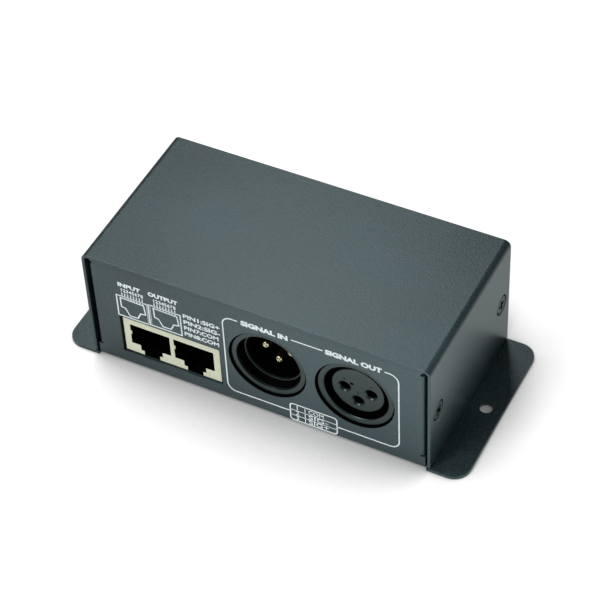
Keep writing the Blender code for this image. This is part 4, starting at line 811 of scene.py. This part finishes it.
def stroke(bm, path, width, closed, look):
    # a line of even width along (x, z) points, its corners mitred
    points = [Vector(p) for p in path]
    outer, inner = look["face"] - look["thick"], look["face"] + look["sunk"]
    rings = []
    for i, point in enumerate(points):
        ways = []
        if closed or i:
            ways.append((point - points[i - 1]).normalized())
        if closed or i < len(points) - 1:
            ways.append((points[(i + 1) % len(points)] - point).normalized())
        normals = [Vector((-w.y, w.x)) for w in ways]
        mitre = sum(normals, Vector((0, 0))).normalized()
        reach = mitre * (width / 2 / max(0.5, mitre.dot(normals[0])))
        left, right = point + reach, point - reach
        rings.append([bm.verts.new(p) for p in ((left.x, outer, left.y), (right.x, outer, right.y),
                                                (right.x, inner, right.y), (left.x, inner, left.y))])
    closeRings(bm, rings, closed)


def makeFrontPrint(ink, look):
    bm = bmesh.new()
    ink = {**ink, "face": look["face"]}
    line, pitch = ink["line"], look["pitch"]
    foot, top = look["digitZ"]
    for low, high, (dx, dz) in look["plugs"]:
        stroke(bm, [low, (high[0], low[1]), high, (low[0], high[1])], line, True, ink)
        stroke(bm, [(x + dx, z + dz) for x, z in look["plugOutline"]], line, True, ink)
    stroke(bm, look["bar"], look["barWidth"], False, ink)
    for start in look["digits"]:
        for n in range(look["pins"]):
            left = start + pitch * n
            printText(bm, str(n + 1), (left, foot), (left + look["digitWidth"], top),
                      {**ink, "bold": look["digitBold"]})
    for words, low, high, bold in look["words"]:
        printText(bm, words, low, high, {**ink, "bold": bold})
    low, high = look["frame"]
    radius = look["frameRadius"]
    tableLow, tableHigh = look["table"]
    first, second, third, fourth = look["lineEnds"]
    stroke(bm, [(tableLow[0], low[1])] + arcPoints((low[0] + radius, low[1] + radius), radius, 270, 180, 10)
           + arcPoints((low[0] + radius, high[1] - radius), radius, 180, 90, 10) + [(first, high[1])],
           line, False, ink)
    stroke(bm, [(tableHigh[0], low[1])] + arcPoints((high[0] - radius, low[1] + radius), radius, 270, 360, 10)
           + arcPoints((high[0] - radius, high[1] - radius), radius, 0, 90, 10) + [(fourth, high[1])],
           line, False, ink)
    stroke(bm, [(second, high[1]), (third, high[1])], line, False, ink)
    stroke(bm, roundRect(tableLow, tableHigh, look["tableRadius"]), line, True, ink)
    for z in look["tableRows"]:
        stroke(bm, [(tableLow[0], z), (tableHigh[0], z)], look["rowLine"], False, ink)
    column = look["tableColumn"]
    stroke(bm, [(column, tableLow[1]), (column, tableHigh[1])], look["columnLine"], False, ink)
    finished(shaped("frontPrint", bm), printInk)
    half = look["tickWidth"] / 2
    foot, top = look["tickZ"]
    for number, (start, lift) in enumerate(look["ticks"], 1):
        tick = shaped(f"plugTicks{number}", block((-half, -ink["thick"], foot), (half, ink["sunk"], top)))
        inRow(tick, printInk, look["pins"], (start, ink["face"], lift), (pitch, 0, 0))
        finished(tick, printInk)


def makeRearPrint(ink, look):
    # seen from behind, so that a word's left side has the larger x
    bm = bmesh.new()
    onPanel = {**ink, "face": look["panel"], "bold": look["bold"]}
    onSwitch = {**onPanel, "face": look["switch"]}
    for word, x, half, foot, top in look["poles"]:
        printText(bm, word, (x + half, foot), (x - half, top), onPanel, 1)
    left, right = look["onX"]
    foot, top = look["onZ"]
    printText(bm, "ON", (left, foot), (right, top), onSwitch, 1)
    foot, top = look["wayZ"]
    for way in switchWays:
        x = look["switchX"] + (5.5 - way) * look["wayPitch"]
        half = 0.42 if way < 10 else 0.75
        printText(bm, str(way), (x + half, foot), (x - half, top), onSwitch, 1)
    finished(shaped("rearPrint", bm), printInk)


makeFrontPrint(panelPrint, frontPrint)
makeRearPrint(panelPrint, rearPrint)
print("print made")
